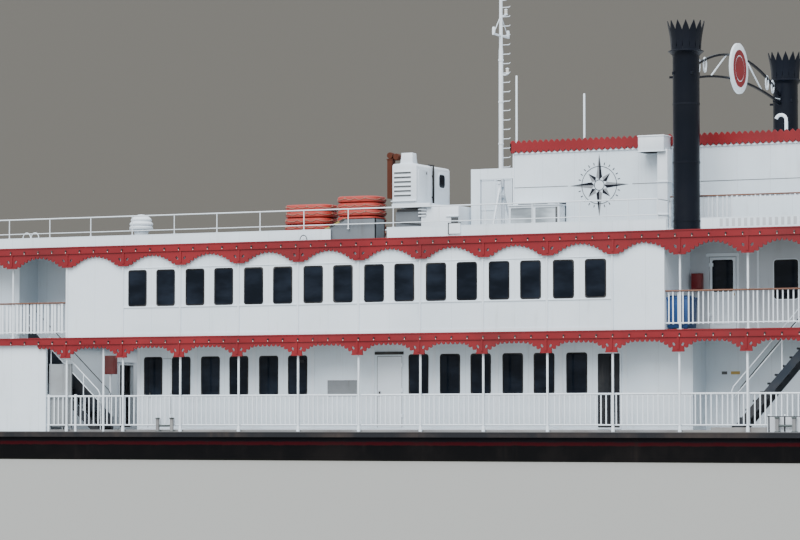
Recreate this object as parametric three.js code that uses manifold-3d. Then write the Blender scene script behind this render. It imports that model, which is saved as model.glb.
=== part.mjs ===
// A stern-wheel paddle steamer of the river type, at half of its real size.
// Lengths below are those of the real vessel in millimetres; the finished group is scaled once.
// +X is the bow, -Y is starboard, and z = 0 is the flat bottom of the hull.
import * as THREE from "three";
import { mergeVertices } from "three/addons/utils/BufferGeometryUtils.js";
import Module from "manifold-3d";

const wasm = await Module();
wasm.setup();

// Driving dimensions
const modelScale = 0.5;
const seam = 0.6; // between pieces that touch
const bay = 1886; // from one deck post to the next
const firstPost = -9580;
const postX = (number) => firstPost + bay * number;

const hullTop = 1850;
const mainDeckZ = 2000;
const upperDeckZ = 4700;
const topDeckZ = 7320;
const deckThick = 150;
const deckhouseTop = 9750;
const crestTop = 10040;

const sternX = -17400; // transom
const bowX = 22500;
const deckHalf = 4600; // half breadth over the guards
const slabHalf = 4539; // half breadth of the upper decks
const sideY = 4500; // outer face of the flush side walls
const insetY = 3600; // outer face of the walls that stand back
const railY = 4420; // line of columns and railings
const wallThick = 90;
const upperDeckEnds = [-16800, 16600];
const topDeckEnds = [-16800, 16000];

const engineRoomEnds = [-15200, -8400];
const mainHouseEnds = [-5850, 11200];
const foyerFront = 15000;
const saloonEnds = [postX(1), 10760];
const cabinEnds = [-14600, -9900]; // behind the saloon, with a recess between them
const loungeFront = 15000;
const aftDeckhouseEnds = [5560, 10990];
const pilothouseEnds = [10991, 15200];
const deckhouseHalf = 2600; // outer face of the foyer, the lounge and the deckhouses

const wheelX = -20100;
const wheelZ = 3000;
const wheelRadius = 2400;
const funnelX = 11200;
const funnelY = 4000;
const funnelRadius = 355;
const mastX = 4030;
const mastHingeZ = 9100;

const sides = [
  { side: "starboard", out: -1 },
  { side: "port", out: 1 },
];

// Finishes
const finish = (color, roughness, metalness = 0) =>
  new THREE.MeshStandardMaterial({ color, roughness, metalness });
const finishes = {
  hull: finish(0x16171b, 0.5),
  white: finish(0xe9eef2, 0.45),
  red: finish(0x9c2a2e, 0.5),
  deck: finish(0x6f7376, 0.8),
  black: finish(0x1b1f2b, 0.4),
  steel: finish(0x8b9095, 0.5, 0.6),
  orange: finish(0xd8492f, 0.6),
  wood: finish(0x8a2b26, 0.7),
};

const steamer = new THREE.Group();
const add = (name, material, geometry) => {
  const mesh = new THREE.Mesh(geometry, finishes[material]);
  mesh.name = name;
  steamer.add(mesh);
};

// Solids
const solidOf = (geometry) => {
  const bare = geometry.clone();
  bare.deleteAttribute("normal");
  bare.deleteAttribute("uv");
  const merged = mergeVertices(bare, 1e-3);
  return new wasm.Manifold(
    new wasm.Mesh({
      numProp: 3,
      vertProperties: new Float32Array(merged.attributes.position.array),
      triVerts: new Uint32Array(merged.index.array),
    }),
  );
};
const geometryOf = (solid) => {
  const mesh = solid.getMesh();
  return new THREE.BufferGeometry()
    .setAttribute("position", new THREE.BufferAttribute(mesh.vertProperties, 3))
    .setIndex(new THREE.BufferAttribute(mesh.triVerts, 1))
    .toNonIndexed();
};
const join = (pieces) => {
  const solids = pieces.map(solidOf);
  return geometryOf(solids.reduce((whole, piece) => whole.add(piece)));
};
const cut = (piece, tools) =>
  geometryOf(tools.map(solidOf).reduce((left, tool) => left.subtract(tool), solidOf(piece)));

// Shapes
const ordered = (a, b) => [Math.min(a, b), Math.max(a, b)];

// A box between the low and high values of each axis.
const box = (x, y, z) =>
  new THREE.BoxGeometry(x[1] - x[0], y[1] - y[0], z[1] - z[0]).translate(
    (x[0] + x[1]) / 2,
    (y[0] + y[1]) / 2,
    (z[0] + z[1]) / 2,
  );

const outline = (points) => new THREE.Shape(points.map(([a, b]) => new THREE.Vector2(a, b)));

const extruded = (shape, depth) =>
  new THREE.ExtrudeGeometry(shape, { depth, bevelEnabled: false });

// A plate drawn in plan, from one height to another.
const flatPlate = (shape, z) => extruded(shape, z[1] - z[0]).translate(0, 0, z[0]);

// A plate drawn in x and z, across y.
const sidePlate = (shape, y) =>
  extruded(shape, y[1] - y[0])
    .rotateX(Math.PI / 2)
    .translate(0, y[1], 0);

// A plate drawn in y and z, across x.
const crossPlate = (shape, x) =>
  extruded(shape, x[1] - x[0]).applyMatrix4(
    new THREE.Matrix4()
      .makeBasis(
        new THREE.Vector3(0, 1, 0),
        new THREE.Vector3(0, 0, 1),
        new THREE.Vector3(1, 0, 0),
      )
      .setPosition(x[0], 0, 0),
  );

const rectangle = (a, b) =>
  outline([
    [a[0], b[0]],
    [a[1], b[0]],
    [a[1], b[1]],
    [a[0], b[1]],
  ]);

const wider = (range, by) => [range[0] - by, range[1] + by];

// A box open at the top and bottom, with walls of one thickness.
const hollowBox = (x, y, z, thick) =>
  cut(box(x, y, z), [box(wider(x, -thick), wider(y, -thick), wider(z, 10))]);

// A straight bar from one point to another, with a square or flat section.
const bar = (from, to, width, height = width) => {
  const start = new THREE.Vector3(...from);
  const end = new THREE.Vector3(...to);
  const along = end.clone().sub(start);
  const length = along.length();
  along.normalize();
  const upright = Math.abs(along.z) > 0.9;
  const up = upright ? new THREE.Vector3(1, 0, 0) : new THREE.Vector3(0, 0, 1);
  const across = up.clone().cross(along).normalize();
  const top = along.clone().cross(across);
  return new THREE.BoxGeometry(length, width, height).applyMatrix4(
    new THREE.Matrix4()
      .makeBasis(along, across, top)
      .setPosition(start.clone().add(end).multiplyScalar(0.5)),
  );
};

const uprightCylinder = (x, y, z, radius, segments = 12) =>
  new THREE.CylinderGeometry(radius, radius, z[1] - z[0], segments)
    .rotateX(Math.PI / 2)
    .translate(x, y, (z[0] + z[1]) / 2);

const crossCylinder = (x, y, z, radius, segments = 24) =>
  new THREE.CylinderGeometry(radius, radius, y[1] - y[0], segments).translate(
    x,
    (y[0] + y[1]) / 2,
    z,
  );

// Hull: each section has a flat bottom, a cut bilge and upright sides.
const bilge = 300;
const hullSections = [
  // x, half breadth at the top, half breadth of the bottom, bottom height
  [sternX, 4350, 4100, 1150],
  [-14900, 4450, 4150, 1150],
  [-12300, 4450, 4150, 0],
  [14600, 4450, 4150, 0],
  [17000, 4150, 3650, 0],
  [19000, 3400, 2700, 60],
  [20800, 2200, 1300, 260],
  [21900, 1050, 420, 600],
  [22350, 380, 160, 1000],
];

function loftedHull() {
  const rings = hullSections.map(([x, half, flat, bottom]) => [
    [x, -half, hullTop],
    [x, -half, bottom + bilge],
    [x, -flat, bottom],
    [x, flat, bottom],
    [x, half, bottom + bilge],
    [x, half, hullTop],
  ]);
  const count = rings[0].length;
  const positions = rings.flat(2);
  const index = [];
  const corner = (ring, point) => ring * count + (point % count);
  for (let ring = 0; ring < rings.length - 1; ring++)
    for (let point = 0; point < count; point++) {
      const [a, b] = [corner(ring, point), corner(ring, point + 1)];
      const [c, d] = [corner(ring + 1, point + 1), corner(ring + 1, point)];
      index.push(a, b, d, b, c, d);
    }
  const last = rings.length - 1;
  for (let point = 1; point < count - 1; point++) {
    index.push(corner(0, 0), corner(0, point + 1), corner(0, point));
    index.push(corner(last, 0), corner(last, point), corner(last, point + 1));
  }
  return new THREE.BufferGeometry()
    .setAttribute("position", new THREE.Float32BufferAttribute(positions, 3))
    .setIndex(index);
}
add("hull", "hull", loftedHull());

// Main deck: the hull's plan with its guards, and the mooring gear that is welded to it.
const guard = deckHalf - 4450;
const deckPlan = hullSections
  .slice(3)
  .map(([x, half]) => [x + guard, half + guard]);
const bowPoints = [...deckPlan.slice(0, -1), [bowX, 450]];

function mainDeck() {
  const shape = outline([
    [sternX, -deckHalf],
    ...bowPoints.map(([x, half]) => [x, -half]),
    ...bowPoints.toReversed().map(([x, half]) => [x, half]),
    [sternX, deckHalf],
  ]);
  const pieces = [flatPlate(shape, [hullTop + seam, mainDeckZ])];
  const bollards = [
    // x of the pair, distance from the centre line
    [-4400, 4535],
    [14100, 4535],
    [19300, 2600],
    [-16900, 4200],
  ];
  for (const { out } of sides)
    for (const [x, y] of bollards)
      for (const step of [-230, 230])
        pieces.push(uprightCylinder(x + step, out * y, [mainDeckZ - 50, mainDeckZ + 380], 55, 8));
  pieces.push(uprightCylinder(20300, 0, [mainDeckZ - 50, mainDeckZ + 650], 260, 12));
  return join(pieces);
}
add("main_deck", "deck", mainDeck());

// Houses on the main deck
const underUpper = upperDeckZ - deckThick - seam;
const onMain = mainDeckZ + seam;
const doorWidth = 800;
const doorHeight = 2000;
const sill = 120;

const windowWidth = 590;
const windowStep = 463; // from the middle of a bay to the middle of each of its two windows

// Windows stand two to a bay, so each bay gives two holes.
const bayWindows = (bays, z) =>
  bays.flatMap((number) =>
    [-windowStep, windowStep].map((step) => {
      const middle = postX(number + 0.5) + step;
      return rectangle([middle - windowWidth / 2, middle + windowWidth / 2], z);
    }),
  );

// Walls along and across the vessel, each with the outlines of its windows and doorways cut out.
const longWall = (ends, z, y, holes = []) =>
  cut(
    box(ends, y, z),
    holes.map((shape) => sidePlate(shape, wider(y, 10))),
  );
const crossWall = (x, half, z, holes = []) =>
  cut(
    box(x, [-half, half], z),
    holes.map((shape) => crossPlate(shape, wider(x, 10))),
  );
const doorway = (middle, floor) =>
  rectangle([middle - doorWidth / 2, middle + doorWidth / 2], [floor + sill, floor + doorHeight]);

const engineHalf = 3400;
const mainWindowZ = [mainDeckZ + 950, mainDeckZ + 2000];
for (const { side, out } of sides) {
  const engineY = ordered(out * engineHalf, out * (engineHalf - wallThick));
  const houseY = ordered(out * insetY, out * (insetY - wallThick));
  const screenY = ordered(out * sideY, out * (sideY - wallThick));
  const walls = [onMain, underUpper];
  add(`engine_room_wall_${side}`, "white", longWall(engineRoomEnds, walls, engineY));
  add(`side_screen_${side}`, "white", longWall(engineRoomEnds, walls, screenY));
  const grille = rectangle([postX(5.5) - 450, postX(5.5) + 450], [mainDeckZ + 950, mainDeckZ + 1350]);
  const windows = bayWindows([2, 3, 4, 6, 7, 8, 9], mainWindowZ);
  add(`main_house_wall_${side}`, "white", longWall(mainHouseEnds, walls, houseY, [...windows, grille]));
}

const between = (half) => half - wallThick - seam;
const crossWalls = [
  // name, low x, half breadth, middles of the doorways
  ["engine_room_wall_aft", engineRoomEnds[0] - wallThick - seam, sideY, [-1500, 1500]],
  ["engine_room_wall_forward", engineRoomEnds[1] - wallThick, between(engineHalf), [0]],
  ["main_house_wall_aft", mainHouseEnds[0], between(insetY), [0]],
];
for (const [name, x, half, middles] of crossWalls) {
  const doors = middles.map((middle) => doorway(middle, mainDeckZ));
  add(name, "white", crossWall([x, x + wallThick], half, [onMain, underUpper], doors));
}

// The forward wall of the main house carries the narrower foyer before it.
function foyer() {
  const walls = [onMain, underUpper];
  const x = [mainHouseEnds[1] - wallThick, foyerFront];
  const half = [-deckhouseHalf, deckhouseHalf];
  const wall = crossWall([x[0], mainHouseEnds[1]], between(insetY), walls);
  return cut(join([hollowBox(x, half, walls, wallThick), wall]), [
    ...[x[0], foyerFront - wallThick].map((at) =>
      crossPlate(doorway(0, mainDeckZ), wider([at, at + wallThick], 10)),
    ),
  ]);
}
add("main_house_wall_forward", "white", foyer());

add("engine_block", "steel", box([-13500, -10700], [-900, 900], [onMain, 3300]));

// Railings: a top and a bottom rail through a line of posts
const railHeight = 1040;
const railSize = 50;
const railLow = 170;
const columnSize = 70;
const bulwark = { from: 13570, height: 420, thick: 30 };

// The two rails of every span of a line of [x, y] points.
function rails(line, floor) {
  const pieces = [];
  for (const z of [floor + railHeight - railSize / 2, floor + railLow])
    for (let number = 0; number < line.length - 1; number++)
      pieces.push(bar([...line[number], z], [...line[number + 1], z], railSize));
  return pieces;
}
const post = (x, y, z, size = columnSize) =>
  box([x - size / 2, x + size / 2], [y - size / 2, y + size / 2], z);

// Railing and columns along one side of the main deck, from the first column to the last.
const columnNumbers = Array.from({ length: 13 }, (_, number) => number + 1);
function mainRailing(out) {
  const y = out * railY;
  const columns = columnNumbers.map((number) => post(postX(number), y, [onMain, underUpper]));
  const ends = [
    [engineRoomEnds[1] + seam, y],
    [postX(columnNumbers.at(-1)), y],
  ];
  const plate = box(
    [bulwark.from, ends[1][0]],
    [y - bulwark.thick / 2, y + bulwark.thick / 2],
    [onMain, mainDeckZ + bulwark.height],
  );
  return join([...columns, ...rails(ends, mainDeckZ), plate]);
}
for (const { side, out } of sides) add(`main_railing_${side}`, "white", mainRailing(out));

// Railing round the bow, a little inside the deck's edge.
function bowRailing() {
  const inset = 140;
  const half = [
    [postX(13) + 250, railY],
    ...bowPoints.slice(1).map(([x, y]) => [x - inset, y - inset]),
  ];
  const line = [...half.map(([x, y]) => [x, -y]), ...half.toReversed()];
  const posts = line.map(([x, y]) => post(x, y, [onMain, mainDeckZ + railHeight]));
  const middle = (onMain + mainDeckZ + bulwark.height) / 2;
  const plates = line.slice(1).map(([x, y], number) =>
    bar([...line[number], middle], [x, y, middle], bulwark.thick, mainDeckZ + bulwark.height - onMain),
  );
  return join([...posts, ...rails(line, mainDeckZ), ...plates]);
}
add("bow_railing", "white", bowRailing());

// Stairs from the main deck to the upper deck, one flight aft and one forward on each side.
const stairY = [3700, 4330];
const flights = {
  aft: { foot: -6600, head: -9500 },
  forward: { foot: 12480, head: 14900 },
};
const stepCount = 12;
function stairs({ foot, head }, out) {
  const rise = upperDeckZ - onMain;
  const run = head - foot;
  const depth = 320;
  const stringer = outline([
    [foot, onMain],
    [foot + (run * depth) / rise, onMain],
    [head, upperDeckZ - depth],
    [head, upperDeckZ],
  ]);
  const thick = 50;
  const pieces = [];
  for (const y of [stairY[0], stairY[1] - thick]) {
    const yRange = ordered(out * y, out * (y + thick));
    pieces.push(sidePlate(stringer, yRange));
    const middle = out * (y + thick / 2);
    const handrail = 930;
    const railFoot = [foot + run * 0.04, middle, onMain + rise * 0.04 + handrail];
    pieces.push(bar(railFoot, [head, middle, upperDeckZ + handrail], 40));
    for (const share of [0.05, 0.97])
      pieces.push(
        bar(
          [foot + run * share, middle, onMain + rise * share - 60],
          [foot + run * share, middle, onMain + rise * share + handrail],
          36,
        ),
      );
  }
  const tread = 250;
  for (let number = 1; number < stepCount; number++) {
    const x = foot + (run * (number - 0.35)) / stepCount;
    const z = onMain + (rise * number) / stepCount - 60;
    const inside = ordered(out * (stairY[0] + 20), out * (stairY[1] - 20));
    pieces.push(box([x - tread / 2, x + tread / 2], inside, [z - 40, z]));
  }
  return join(pieces);
}
for (const { side, out } of sides)
  for (const [place, flight] of Object.entries(flights))
    add(`stairs_${place}_${side}`, "white", stairs(flight, out));

// Upper deck in five slabs, which leave an open well over each flight of stairs.
const slabY = [-slabHalf, slabHalf];
const upperDeckSlab = [upperDeckZ - deckThick, upperDeckZ];
const coreHalf = stairY[0] - 45;
const wellEnds = { aft: -7760, forward: 13300 };
add("upper_deck_aft", "deck", box([upperDeckEnds[0], flights.aft.head - seam], slabY, upperDeckSlab));
const core = [flights.aft.head, flights.forward.head];
add("upper_deck", "deck", box(core, [-coreHalf, coreHalf], upperDeckSlab));
add("upper_deck_forward", "deck", box([flights.forward.head + seam, upperDeckEnds[1]], slabY, upperDeckSlab));
for (const { side, out } of sides) {
  const strip = ordered(out * (coreHalf + seam), out * slabHalf);
  add(`upper_deck_${side}`, "deck", box([wellEnds.aft, wellEnds.forward], strip, upperDeckSlab));
}
add("top_deck", "deck", box(topDeckEnds, slabY, [topDeckZ - deckThick, topDeckZ]));

// Fretwork: a band along each deck edge, with a bracket that widens from a square foot at every post.
const bandDepth = 250;
const bracketEdge = [
  // distance from the post, depth below the deck
  [510, 262],
  [330, 330],
  [165, 405],
  [165, 548],
];
function fretwork(ends, top) {
  const lower = [];
  for (let number = -3; number <= 13; number++) {
    const x = postX(number);
    const reach = bracketEdge[0][0];
    if (x - reach < ends[0] || x + reach > ends[1]) continue;
    lower.push(...bracketEdge.map(([distance, depth]) => [x - distance, top - depth]));
    lower.push(...bracketEdge.toReversed().map(([distance, depth]) => [x + distance, top - depth]));
  }
  return outline([
    [ends[0], top],
    [ends[0], top - bandDepth],
    ...lower,
    [ends[1], top - bandDepth],
    [ends[1], top],
  ]);
}
const fasciaY = [slabHalf + seam, deckHalf];
const fascias = [
  ["lower_fretwork", upperDeckEnds, upperDeckZ],
  ["upper_fretwork", topDeckEnds, topDeckZ],
];
for (const [name, ends, top] of fascias)
  for (const { side, out } of sides) {
    const plate = sidePlate(fretwork(ends, top), ordered(out * fasciaY[0], out * fasciaY[1]));
    add(`${name}_${side}`, "red", plate);
  }

// Saloon on the upper deck
const onUpper = upperDeckZ + seam;
const underTop = topDeckZ - deckThick - seam;
const saloonWindowZ = [5580, 6600];
const saloonWindowBays = [2, 3, 4, 5, 6, 7, 8, 9];
for (const { side, out } of sides)
  add(
    `saloon_wall_${side}`,
    "white",
    longWall(
      saloonEnds,
      [onUpper, underTop],
      ordered(out * sideY, out * (sideY - wallThick)),
      bayWindows(saloonWindowBays, saloonWindowZ),
    ),
  );
const saloonFloors = [onUpper, underTop];
add(
  "saloon_wall_forward",
  "white",
  crossWall([saloonEnds[1] - wallThick, saloonEnds[1]], between(sideY), saloonFloors, [
    doorway(0, upperDeckZ),
  ]),
);

// The aft wall of the saloon carries the cabins behind it, with a recess abreast of each flight of stairs.
function aftCabins() {
  const [aft, front] = cabinEnds;
  const x = saloonEnds[0];
  const wide = box([aft, front], [-insetY, insetY], saloonFloors);
  const narrow = box([front - 200, x + 10], [-deckhouseHalf, deckhouseHalf], saloonFloors);
  const inner = insetY - wallThick;
  const link = deckhouseHalf - wallThick;
  const z = wider(saloonFloors, 10);
  const hollow = cut(join([wide, narrow]), [
    box([aft + wallThick, front - wallThick], [-inner, inner], z),
    box([front - 300, x + 20], [-link, link], z),
  ]);
  const wall = crossWall([x, x + wallThick], between(sideY), saloonFloors);
  const acrossWall = (at) => wider([at, at + wallThick], 10);
  const sideWindows = bayWindows([-2], saloonWindowZ).map((shape) =>
    sidePlate(shape, wider([-insetY, insetY], 10)),
  );
  const aftWindows = [-2200, 2200].map((y) => {
    const shape = rectangle([y - windowWidth / 2, y + windowWidth / 2], saloonWindowZ);
    return crossPlate(shape, acrossWall(aft));
  });
  const ways = [x, aft].map((at) => crossPlate(doorway(0, upperDeckZ), acrossWall(at)));
  return cut(join([hollow, wall]), [...sideWindows, ...aftWindows, ...ways]);
}
add("saloon_wall_aft", "white", aftCabins());

// Hinged doors: the leaf hangs on two pairs of knuckles outside the wall.
const knuckleRadius = 20;
const knuckleOut = 21; // from the wall's outer face to the pin's axis
const knuckleHigh = 90;
const doorGap = 10;
const leafThick = 45;

// One knuckle with the strap that ties it to the leaf (reach > 0) or to the wall (reach < 0).
function knuckle(pinX, wallY, out, z, reach) {
  const pinY = wallY + out * knuckleOut;
  return [
    uprightCylinder(pinX, pinY, z, knuckleRadius, 12),
    box(
      ordered(pinX, pinX + reach),
      ordered(wallY - out * 5, pinY + out * 12),
      z,
    ),
  ];
}
const knuckleHeights = (door) => [door.z[0] + 250, door.z[1] - 350];
// Hinge side is the low x of each door; door = { x, z, wallY, out }.
const wallKnuckles = (door) =>
  knuckleHeights(door).flatMap((z) => {
    const heights = [z, z + knuckleHigh];
    return knuckle(door.x[0] + 5, door.wallY, door.out, heights, -70);
  });
function doorLeaf(door) {
  const pane = rectangle(wider(door.x, -150), [door.z[0] + 1000, door.z[1] - 200]);
  const leafY = ordered(door.wallY, door.wallY - door.out * leafThick);
  const leaf = longWall(wider(door.x, -doorGap), wider(door.z, -doorGap), leafY, [pane]);
  const straps = knuckleHeights(door).flatMap((z) => {
    const heights = [z + knuckleHigh + seam, z + 2 * knuckleHigh];
    return knuckle(door.x[0] + 5, door.wallY, door.out, heights, 110);
  });
  return join([leaf, ...straps]);
}

// Cutting boxes that pass through one wall of the lounge or of a deckhouse.
const through = 200;
const sideCut = (x, z, out) =>
  box(x, ordered(out * (deckhouseHalf - through), out * (deckhouseHalf + through)), z);
const endCut = (x, y, z) => box([x - through, x + through], y, z);

// Lounge forward of the saloon, narrower so that a veranda runs round it.
const loungeWindow = { x: [13150, 13790], z: [5540, 6560] };
const frontWindows = [-1950, -650, 650, 1950];
const loungeDoors = sides.map(({ side, out }) => ({
  side,
  out,
  x: [11310, 12070],
  z: [upperDeckZ + 60, 6690],
  wallY: out * deckhouseHalf,
}));
function loungeWalls() {
  const x = [saloonEnds[1] + seam, loungeFront];
  const inside = box(
    [x[0] - 10, x[1] - wallThick],
    [wallThick - deckhouseHalf, deckhouseHalf - wallThick],
    [onUpper - 10, underTop + 10],
  );
  const cuts = loungeDoors.flatMap((door) => [
    sideCut(door.x, door.z, door.out),
    sideCut(loungeWindow.x, loungeWindow.z, door.out),
  ]);
  const front = frontWindows.map((y) => endCut(loungeFront, [y - 350, y + 350], saloonWindowZ));
  return cut(box(x, [-deckhouseHalf, deckhouseHalf], [onUpper, underTop]), [inside, ...cuts, ...front]);
}
add("lounge_walls", "white", join([loungeWalls(), ...loungeDoors.flatMap(wallKnuckles)]));
for (const door of loungeDoors) add(`lounge_door_${door.side}`, "white", doorLeaf(door));

// Veranda railings round the two open ends of the upper deck, with the posts of the top deck
function verandaRailing(corner, wallX, postNumbers) {
  const postSize = 60;
  const side = (y) => [...postNumbers.map((number) => [postX(number), y]), [corner, y]];
  const across = [-railY / 2, 0, railY / 2].map((y) => [corner, y]);
  const posts = [...side(-railY), ...across, ...side(railY).toReversed()];
  const line = [[wallX, -railY], [corner, -railY], [corner, railY], [wallX, railY]];
  return join([
    ...posts.map(([x, y]) => post(x, y, [onUpper, underTop], postSize)),
    ...rails(line, upperDeckZ),
  ]);
}
const endInset = 130;
add(
  "veranda_railing_aft",
  "white",
  verandaRailing(upperDeckEnds[0] + endInset, saloonEnds[0] - seam, [0, -1, -2, -3]),
);
add(
  "veranda_railing_forward",
  "white",
  verandaRailing(topDeckEnds[1] - endInset, saloonEnds[1] + seam, [11, 12, 13]),
);

// Coaming and handrail round the top deck
const onTop = topDeckZ + seam;
const coamingHeight = 300;
const topRailHeight = 860;
const narrowRail = { from: 10550, y: 3530 }; // beside the funnels the handrail stands further in
function topRailing() {
  const y = 4480;
  const ends = [topDeckEnds[0] + 60, topDeckEnds[1] - 60];
  const pieces = [hollowBox(ends, [-y, y], [onTop, topDeckZ + coamingHeight], 40)];
  const railThick = 36;
  const half = railThick / 2;
  const [aft, step, front] = [ends[0] + half, narrowRail.from, ends[1] - half];
  const wide = y - half;
  const corners = [[front, narrowRail.y], [step, narrowRail.y], [step, wide], [aft, wide]];
  const line = [...corners.map(([x, at]) => [x, -at]), ...corners.toReversed()];
  const railZ = topDeckZ + topRailHeight - half;
  for (let number = 0; number < line.length; number++) {
    const [from, to] = [line[number], line[(number + 1) % line.length]];
    const [dx, dy] = [Math.sign(to[0] - from[0]) * half, Math.sign(to[1] - from[1]) * half];
    pieces.push(bar([from[0] - dx, from[1] - dy, railZ], [to[0] + dx, to[1] + dy, railZ], railThick));
  }
  const stanchion = (x, at, foot) => pieces.push(post(x, at, [foot, railZ], 28));
  const run = (from, to, at, spacing, foot) => {
    const count = Math.round((to - from) / spacing);
    for (let number = 0; number <= count; number++)
      for (const { out } of sides) stanchion(from + ((to - from) * number) / count, out * at, foot);
  };
  run(aft, step, wide, 2700, topDeckZ + coamingHeight - 50);
  run(step, front, narrowRail.y, 1800, onTop);
  for (const share of [-1, 0, 1]) stanchion(aft, (share * wide) / 2, topDeckZ + coamingHeight - 50);
  for (const share of [-1, 0, 1]) stanchion(front, (share * narrowRail.y) / 2, onTop);
  return join(pieces);
}
add("top_railing", "white", topRailing());

// Deckhouses on the top deck: one ring of walls each, under a roof with a raised crest.
const pilothouseDoor = {
  x: [12400, 13150],
  z: [topDeckZ + 60, 9350],
  wallY: deckhouseHalf,
  out: 1,
};
const houseWalls = (ends, cuts) =>
  cut(hollowBox(ends, [-deckhouseHalf, deckhouseHalf], [onTop, deckhouseTop - 50 - seam], wallThick), cuts);
// Portal frame from the corner of the after deckhouse to a post abreast of the mast; to port it is closed
const portalX = [4280, aftDeckhouseEnds[0] + 40];
const portalFrame = (out) => {
  const y = ordered(out * deckhouseHalf, out * (deckhouseHalf - wallThick));
  return [
    box([portalX[0], portalX[0] + 280], y, [onTop, 9290]),
    box(portalX, y, [9000, 9290]),
    ...(out > 0 ? [box(portalX, y, [onTop, 9010])] : []),
  ];
};

const hatchWindow = { x: [5700, 7150], z: [7700, 8280] };
const aftDeckhouse = houseWalls(aftDeckhouseEnds, [
  sideCut(hatchWindow.x, hatchWindow.z, -1),
  sideCut(hatchWindow.x, hatchWindow.z, 1),
  endCut(aftDeckhouseEnds[0], [-400, 400], [topDeckZ + sill, 9350]),
]);
add(
  "aft_deckhouse_walls",
  "white",
  join([aftDeckhouse, ...portalFrame(-1), ...portalFrame(1)]),
);
const helmWindowZ = [8450, 9350];
const pilothouseCuts = [
  sideCut([14150, 15000], helmWindowZ, -1),
  sideCut([14150, 15000], helmWindowZ, 1),
  sideCut(pilothouseDoor.x, pilothouseDoor.z, 1),
  ...[-1950, -650, 650, 1950].map((y) => endCut(pilothouseEnds[1], [y - 560, y + 560], helmWindowZ)),
];
add(
  "pilothouse_walls",
  "white",
  join([houseWalls(pilothouseEnds, pilothouseCuts), ...wallKnuckles(pilothouseDoor)]),
);
add("pilothouse_door", "white", doorLeaf(pilothouseDoor));

// One roof with a raised crest over both deckhouses
function crestedRoof() {
  const over = 60;
  const x = [aftDeckhouseEnds[0] - over, pilothouseEnds[1] + over];
  const rim = deckhouseHalf + over;
  const thick = 40;
  return join([
    box(x, [-rim, rim], [deckhouseTop - 50, deckhouseTop]),
    hollowBox(x, [-rim, rim], [deckhouseTop - 30, crestTop], thick),
  ]);
}
const aerials = [
  // x, distance from the centre line, height of the tip
  [5580, -2400, 11870],
  [7610, -2400, 11280],
];

// Bent vent pipe on the roof of the pilothouse
function bentVent() {
  const radius = 150;
  const [x, y, top] = [12600, 0, 10700];
  const pipe = 55;
  const bend = new THREE.CatmullRomCurve3([
    new THREE.Vector3(x, y, deckhouseTop - 20),
    new THREE.Vector3(x, y, top - radius),
    new THREE.Vector3(x - radius * 0.3, y, top - radius * 0.3),
    new THREE.Vector3(x - radius, y, top),
    new THREE.Vector3(x - radius * 1.7, y, top - radius * 0.3),
    new THREE.Vector3(x - radius * 2, y, top - radius),
  ]);
  const section = new THREE.Shape().absarc(0, 0, pipe, 0, 2 * Math.PI);
  return new THREE.ExtrudeGeometry(section, {
    extrudePath: bend,
    steps: 14,
    bevelEnabled: false,
    curveSegments: 4,
  });
}
add(
  "deckhouse_roofs",
  "red",
  join([
    crestedRoof(),
    bentVent(),
    ...aerials.map(([x, y, tip]) => uprightCylinder(x, y, [deckhouseTop - 10, tip], 30, 8)),
  ]),
);

// Ventilation duct between the two deckhouses, starboard side, with its wider head
add(
  "duct",
  "white",
  join([
    box([10000, 10400], [-3100, -2740], [onTop, 9600]),
    box([9500, 10480], [-3180, -2670], [9530, 9980]),
  ]),
);

// Funnels: a round stack, a collar below the top and a crown of pointed leaves.
const funnelSegments = 20;
const crownLeaves = 14;
const crownTip = 12880;
const collarZ = 12060;
function funnel(y) {
  const profile = [
    // radius, height
    [0, onTop],
    [funnelRadius + 50, onTop],
    [funnelRadius + 50, onTop + 90],
    [funnelRadius, onTop + 90],
    [funnelRadius, collarZ - 90],
    [470, collarZ],
    [470, collarZ + 50],
    [410, collarZ + 150],
    [320, collarZ + 150],
    [320, collarZ - 300],
    [0, collarZ - 300],
  ];
  const stack = new THREE.LatheGeometry(
    profile.map(([radius, z]) => new THREE.Vector2(radius, z)),
    funnelSegments,
  ).rotateX(Math.PI / 2);
  const leafHeight = crownTip - collarZ - 110;
  const pieces = [stack];
  for (let number = 0; number < crownLeaves; number++) {
    const angle = (2 * Math.PI * number) / crownLeaves;
    pieces.push(
      new THREE.ConeGeometry(75, leafHeight, 4)
        .rotateX(Math.PI / 2)
        .rotateY(0.1)
        .translate(410, 0, collarZ + 110 + leafHeight / 2)
        .rotateZ(angle),
    );
  }
  return join(pieces).translate(funnelX, y, 0);
}
for (const { side, out } of sides) add(`funnel_${side}`, "black", funnel(out * funnelY));

// Round sign between the funnels, on a bracket of two arches and four struts
const signZ = 12030;
const signRadius = 700;
const armX = [funnelX - 70, funnelX - 10];
function signBracket() {
  const middle = (armX[0] + armX[1]) / 2;
  const reach = funnelY - funnelRadius + 60;
  const arch = (end, rise) => {
    const line = new THREE.QuadraticBezierCurve3(
      new THREE.Vector3(middle, -reach, end),
      new THREE.Vector3(middle, 0, end + rise),
      new THREE.Vector3(middle, reach, end),
    );
    return new THREE.ExtrudeGeometry(rectangle([-30, 30], [-25, 25]), {
      extrudePath: line,
      steps: 10,
      bevelEnabled: false,
    });
  };
  const struts = [
    // y at the lower arch, height there, y at the upper arch, height there
    [2050, 11616, 800, 12339],
    [3000, 11490, 3000, 11870],
  ];
  const pieces = [arch(11380, 680), arch(11600, 1550)];
  for (const out of [-1, 1])
    for (const [y0, z0, y1, z1] of struts)
      pieces.push(bar([middle, out * y0, z0], [middle, out * y1, z1], 40));
  const clearance = 1.2;
  const stacks = [-1, 1].map((out) =>
    uprightCylinder(funnelX, out * funnelY, [topDeckZ, 12900], funnelRadius + clearance, funnelSegments),
  );
  return cut(join(pieces), stacks);
}
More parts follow.
